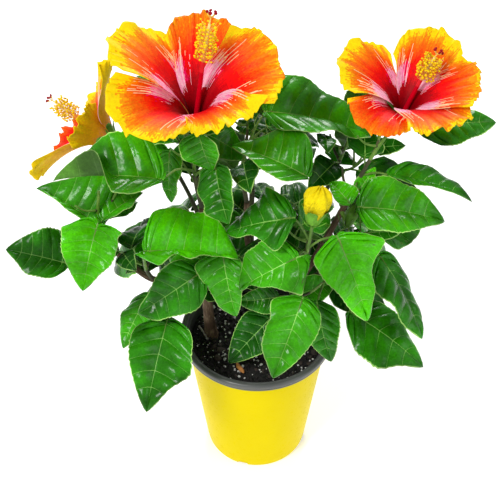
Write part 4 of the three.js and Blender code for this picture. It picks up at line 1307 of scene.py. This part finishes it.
def cutNotches(piece):
    for k in range(potLook["notches"]):
        turn = math.radians(potLook["notchTurn"] + 360 / potLook["notches"] * k)
        place = (pot["foot"] * math.cos(turn) / 1000, pot["foot"] * math.sin(turn) / 1000, 0)
        bpy.ops.mesh.primitive_cube_add(size=1, location=place, rotation=(0, 0, turn))
        cutter = bpy.context.object
        cutter.scale = [side / 1000 for side in potLook["notchSize"]]
        selectOnly(cutter)
        bpy.ops.object.transform_apply(location=True, rotation=True, scale=True)
        bpy.ops.object.mode_set(mode="EDIT")
        bpy.ops.mesh.select_all(action="SELECT")
        bpy.ops.mesh.bevel(offset=potLook["notchEdge"] / 1000, segments=4, affect="EDGES")
        bpy.ops.object.mode_set(mode="OBJECT")
        selectOnly(piece)
        cut = piece.modifiers.new("notch", "BOOLEAN")
        cut.object = cutter
        cut.operation = "DIFFERENCE"
        cut.solver = "EXACT"
        bpy.ops.object.modifier_apply(modifier=cut.name)
        bpy.data.objects.remove(cutter)


def finishTurned(piece, angle, material, slotName, stands):
    selectOnly(piece)
    bpy.ops.object.shade_smooth_by_angle(angle=math.radians(angle))
    piece.data.materials.append(material)
    finishPiece(piece, slotName, stands)


def plasticMaterial(name, colour, gloss, wear, level):
    material, tree, place = newMaterial(name, gloss, level)
    clouds, fine = noise(tree, place, 14, 4), noise(tree, place, 260, 4, 0.6)
    paint(tree, "Base Color", multiplied(tree, shade(colour), tone(tree, clouds, 1 - wear, 1 + wear * 0.6)))
    paint(tree, "Roughness", tone(tree, fine, gloss - 0.05, gloss + 0.1, 0.35))
    addBump(tree, total(tree, fine, scaled(tree, clouds, 4.0)), 0.05, 0.0004)
    return material


yellow = plasticMaterial("yellow plastic", potLook["colour"], 0.3, 0.04, 0.02)
dark = plasticMaterial("dark plastic", potLook["linerColour"], 0.34, 0.25, 0.6)
shell = turnedPiece("pot_shell", potLook["profile"], potLook["sides"])
cutNotches(shell)
finishTurned(shell, potLook["smooth"], yellow, "pot", "pot")
liner = turnedPiece("liner_shell", potLook["liner"], potLook["sides"])
finishTurned(liner, potLook["smooth"], dark, "liner", "pot_liner")
print("pot and liner made")

# Soil. Each kind of grain: its material (name, low and high colour, gloss), then count, size (smallest,
# largest), how flat, how far it stands out, and its lump (sides, rings, roughness) with the number of forms
soilLook = {
    "radius": 65.4,
    "chamfer": 4,
    "sides": 96,
    "rings": 26,
    "step": 2.4,
    "smooth": 60,
    "relief": 2.6,
    "bottom": 118,
    "surface": soilTop - 0.8,
    "reach": 63,
    "bed": ("soil", (0.002, 0.0018, 0.0016), (0.011, 0.009, 0.008), 0.9),
    "kinds": [
        [("granule", (0.003, 0.0026, 0.0024), (0.018, 0.014, 0.012), 0.85),
         1500, (0.6, 2.2), 0.7, 0.4, (7, 5, 0.7), 12],
        [("bark chip", (0.012, 0.008, 0.006), (0.055, 0.036, 0.026), 0.8),
         90, (1.6, 4.6), 0.28, 0.7, (8, 5, 0.4), 8],
        [("perlite", (0.55, 0.54, 0.50), (0.86, 0.85, 0.82), 0.75),
         430, (0.55, 1.7), 0.8, 0.5, (9, 7, 0.35), 8],
    ],
    "chip": ("orange chip", (0.38, 0.12, 0.025), (0.72, 0.30, 0.07), 0.6),
    "chipPlace": (-16.7, -42.7, soilTop + 2.0),
    "chipSize": (8.2, 2.4, 1.6),
    "chipAlong": (-62, 6),
    "twig": ("grey twig", (0.20, 0.18, 0.16), (0.46, 0.42, 0.37), 0.8),
    "twigPath": [[-59, 13, soilTop + 3], [-54, 4, soilTop + 3.6], [-49, -5, soilTop + 2.4]],
}


def soilMaterial(name, low, high, gloss):
    material, tree, place = newMaterial(name, gloss)
    grain = noise(tree, place, 320, 5, 0.65)
    mixed = scaled(tree, total(tree, grain, noise(tree, place, 40)), 0.5)
    paint(tree, "Base Color", ramp(tree, mixed, [(0.38, shade(low)), (0.62, shade(high))]))
    addBump(tree, grain, 0.9, 0.0012)
    return material


def soilHeight(x, y):
    return soilLook["surface"] + soilLook["relief"] * relief.fractal(Vector((x / 9, y / 9, 3.1)), 0.8, 2.1, 4)


foot = [soilLook["radius"] - soilLook["chamfer"], soilLook["bottom"]]
bedProfile = [foot, [soilLook["radius"], soilTop]]
bed = turnedPiece("soil_bed", bedProfile, soilLook["sides"], soilLook["rings"], soilLook["step"])
for vertex in bed.data.vertices:
    x, y, z = (value * 1000 for value in vertex.co)
    if z > soilTop - 1:
        vertex.co.z = soilHeight(x, y) / 1000
finishTurned(bed, soilLook["smooth"], soilMaterial(*soilLook["bed"]), "soil", "soil")
random = seeded(4711)


def roughBall(sides, rings, amount):
    points, faces = ball(sides, rings)
    return points * (1 + amount * (np.array([random() for _ in points]) - 0.5))[:, None], faces


# Turned about the vertical, with a slight lean
def flatTurn():
    up = unit(np.array([random() - 0.5, random() - 0.5, 2.0]))
    first = unit(np.cross(up, heading(360 * random(), 0)))
    return np.stack([first, np.cross(up, first), up], 1)


def scatter(heap, slot, count, size, flat, proud, lump, forms):
    shapes = [roughBall(*lump) for _ in range(forms)]
    for i in range(count):
        out = soilLook["reach"] * math.sqrt(random())
        turn = 2 * math.pi * random()
        x, y = out * math.cos(turn), out * math.sin(turn)
        wide = size[0] + (size[1] - size[0]) * random() ** 2
        spread = wide * np.array([1.0, 0.7 + 0.4 * random(), flat + 0.2 * random()])
        centre = np.array([x, y, soilHeight(x, y) + spread[2] * proud])
        lean = anyTurn(random) if flat > 0.6 else flatTurn()
        addLump(heap, shapes[i % forms], centre, spread, lean, slot)


soilHeap = newHeap()
grains = soilLook["kinds"]
for slot, kind in enumerate(grains):
    scatter(soilHeap, slot, *kind[1:])
along = heading(*soilLook["chipAlong"])
side = unit(np.cross([0, 0, 1], along))
chipTurn = np.stack([along, side, np.cross(along, side)], 1)
addLump(soilHeap, roughBall(12, 8, 0.3), np.array(soilLook["chipPlace"]), soilLook["chipSize"], chipTurn, 3)
addTube(soilHeap, lineSamples(soilLook["twigPath"], 14), np.linspace(1.1, 0.8, 14), 8, 4)
soilKinds = [kind[0] for kind in grains] + [soilLook["chip"], soilLook["twig"]]
makePiece("soil_grains", soilHeap, [soilMaterial(*kind) for kind in soilKinds], "soil")
print("soil made")

# Stage: a pale floor that falls off into a white surround, and soft light (name, place, size, power)
stageLook = {
    "floor": (0.92, 0.92, 0.92),
    "floorSize": 12,
    "surround": 0.45,
    "floorGlow": 0.3,
    "aim": (0, 0, 0.28),
    "lights": [
        ("key", (-0.9, -1.0, 1.7), 0.6, 24),
        ("fill", (1.5, -0.9, 1.3), 1.4, 9),
        ("back", (0.1, 1.4, 1.2), 0.8, 18),
    ],
}
bpy.ops.mesh.primitive_plane_add(size=stageLook["floorSize"], location=(0, 0, 0))
floor = bpy.context.object
floor.name = "floor"
material, tree, place = newMaterial("pale floor", 0.9)
paint(tree, "Emission Color", (1, 1, 1, 1))
paint(tree, "Emission Strength", stageLook["floorGlow"])
mottle = tone(tree, noise(tree, place, 3), 0.97, 1)
paint(tree, "Base Color", multiplied(tree, shade(stageLook["floor"]), mottle))
floor.data.materials.append(material)
world = bpy.data.worlds.new("surround")
world.use_nodes = True
background = world.node_tree.nodes["Background"]
background.inputs["Color"].default_value = (1, 1, 1, 1)
background.inputs["Strength"].default_value = stageLook["surround"]
bpy.context.scene.world = world
bpy.context.scene.view_settings.view_transform = "Standard"
for name, place, size, power in stageLook["lights"]:
    aim = Vector(stageLook["aim"]) - Vector(place)
    bpy.ops.object.light_add(type="AREA", location=place, rotation=aim.to_track_quat("-Z", "Y").to_euler())
    lamp = bpy.context.object
    lamp.name = name
    lamp.data.shape = "DISK"
    lamp.data.size = size
    lamp.data.energy = power
print("stage made")
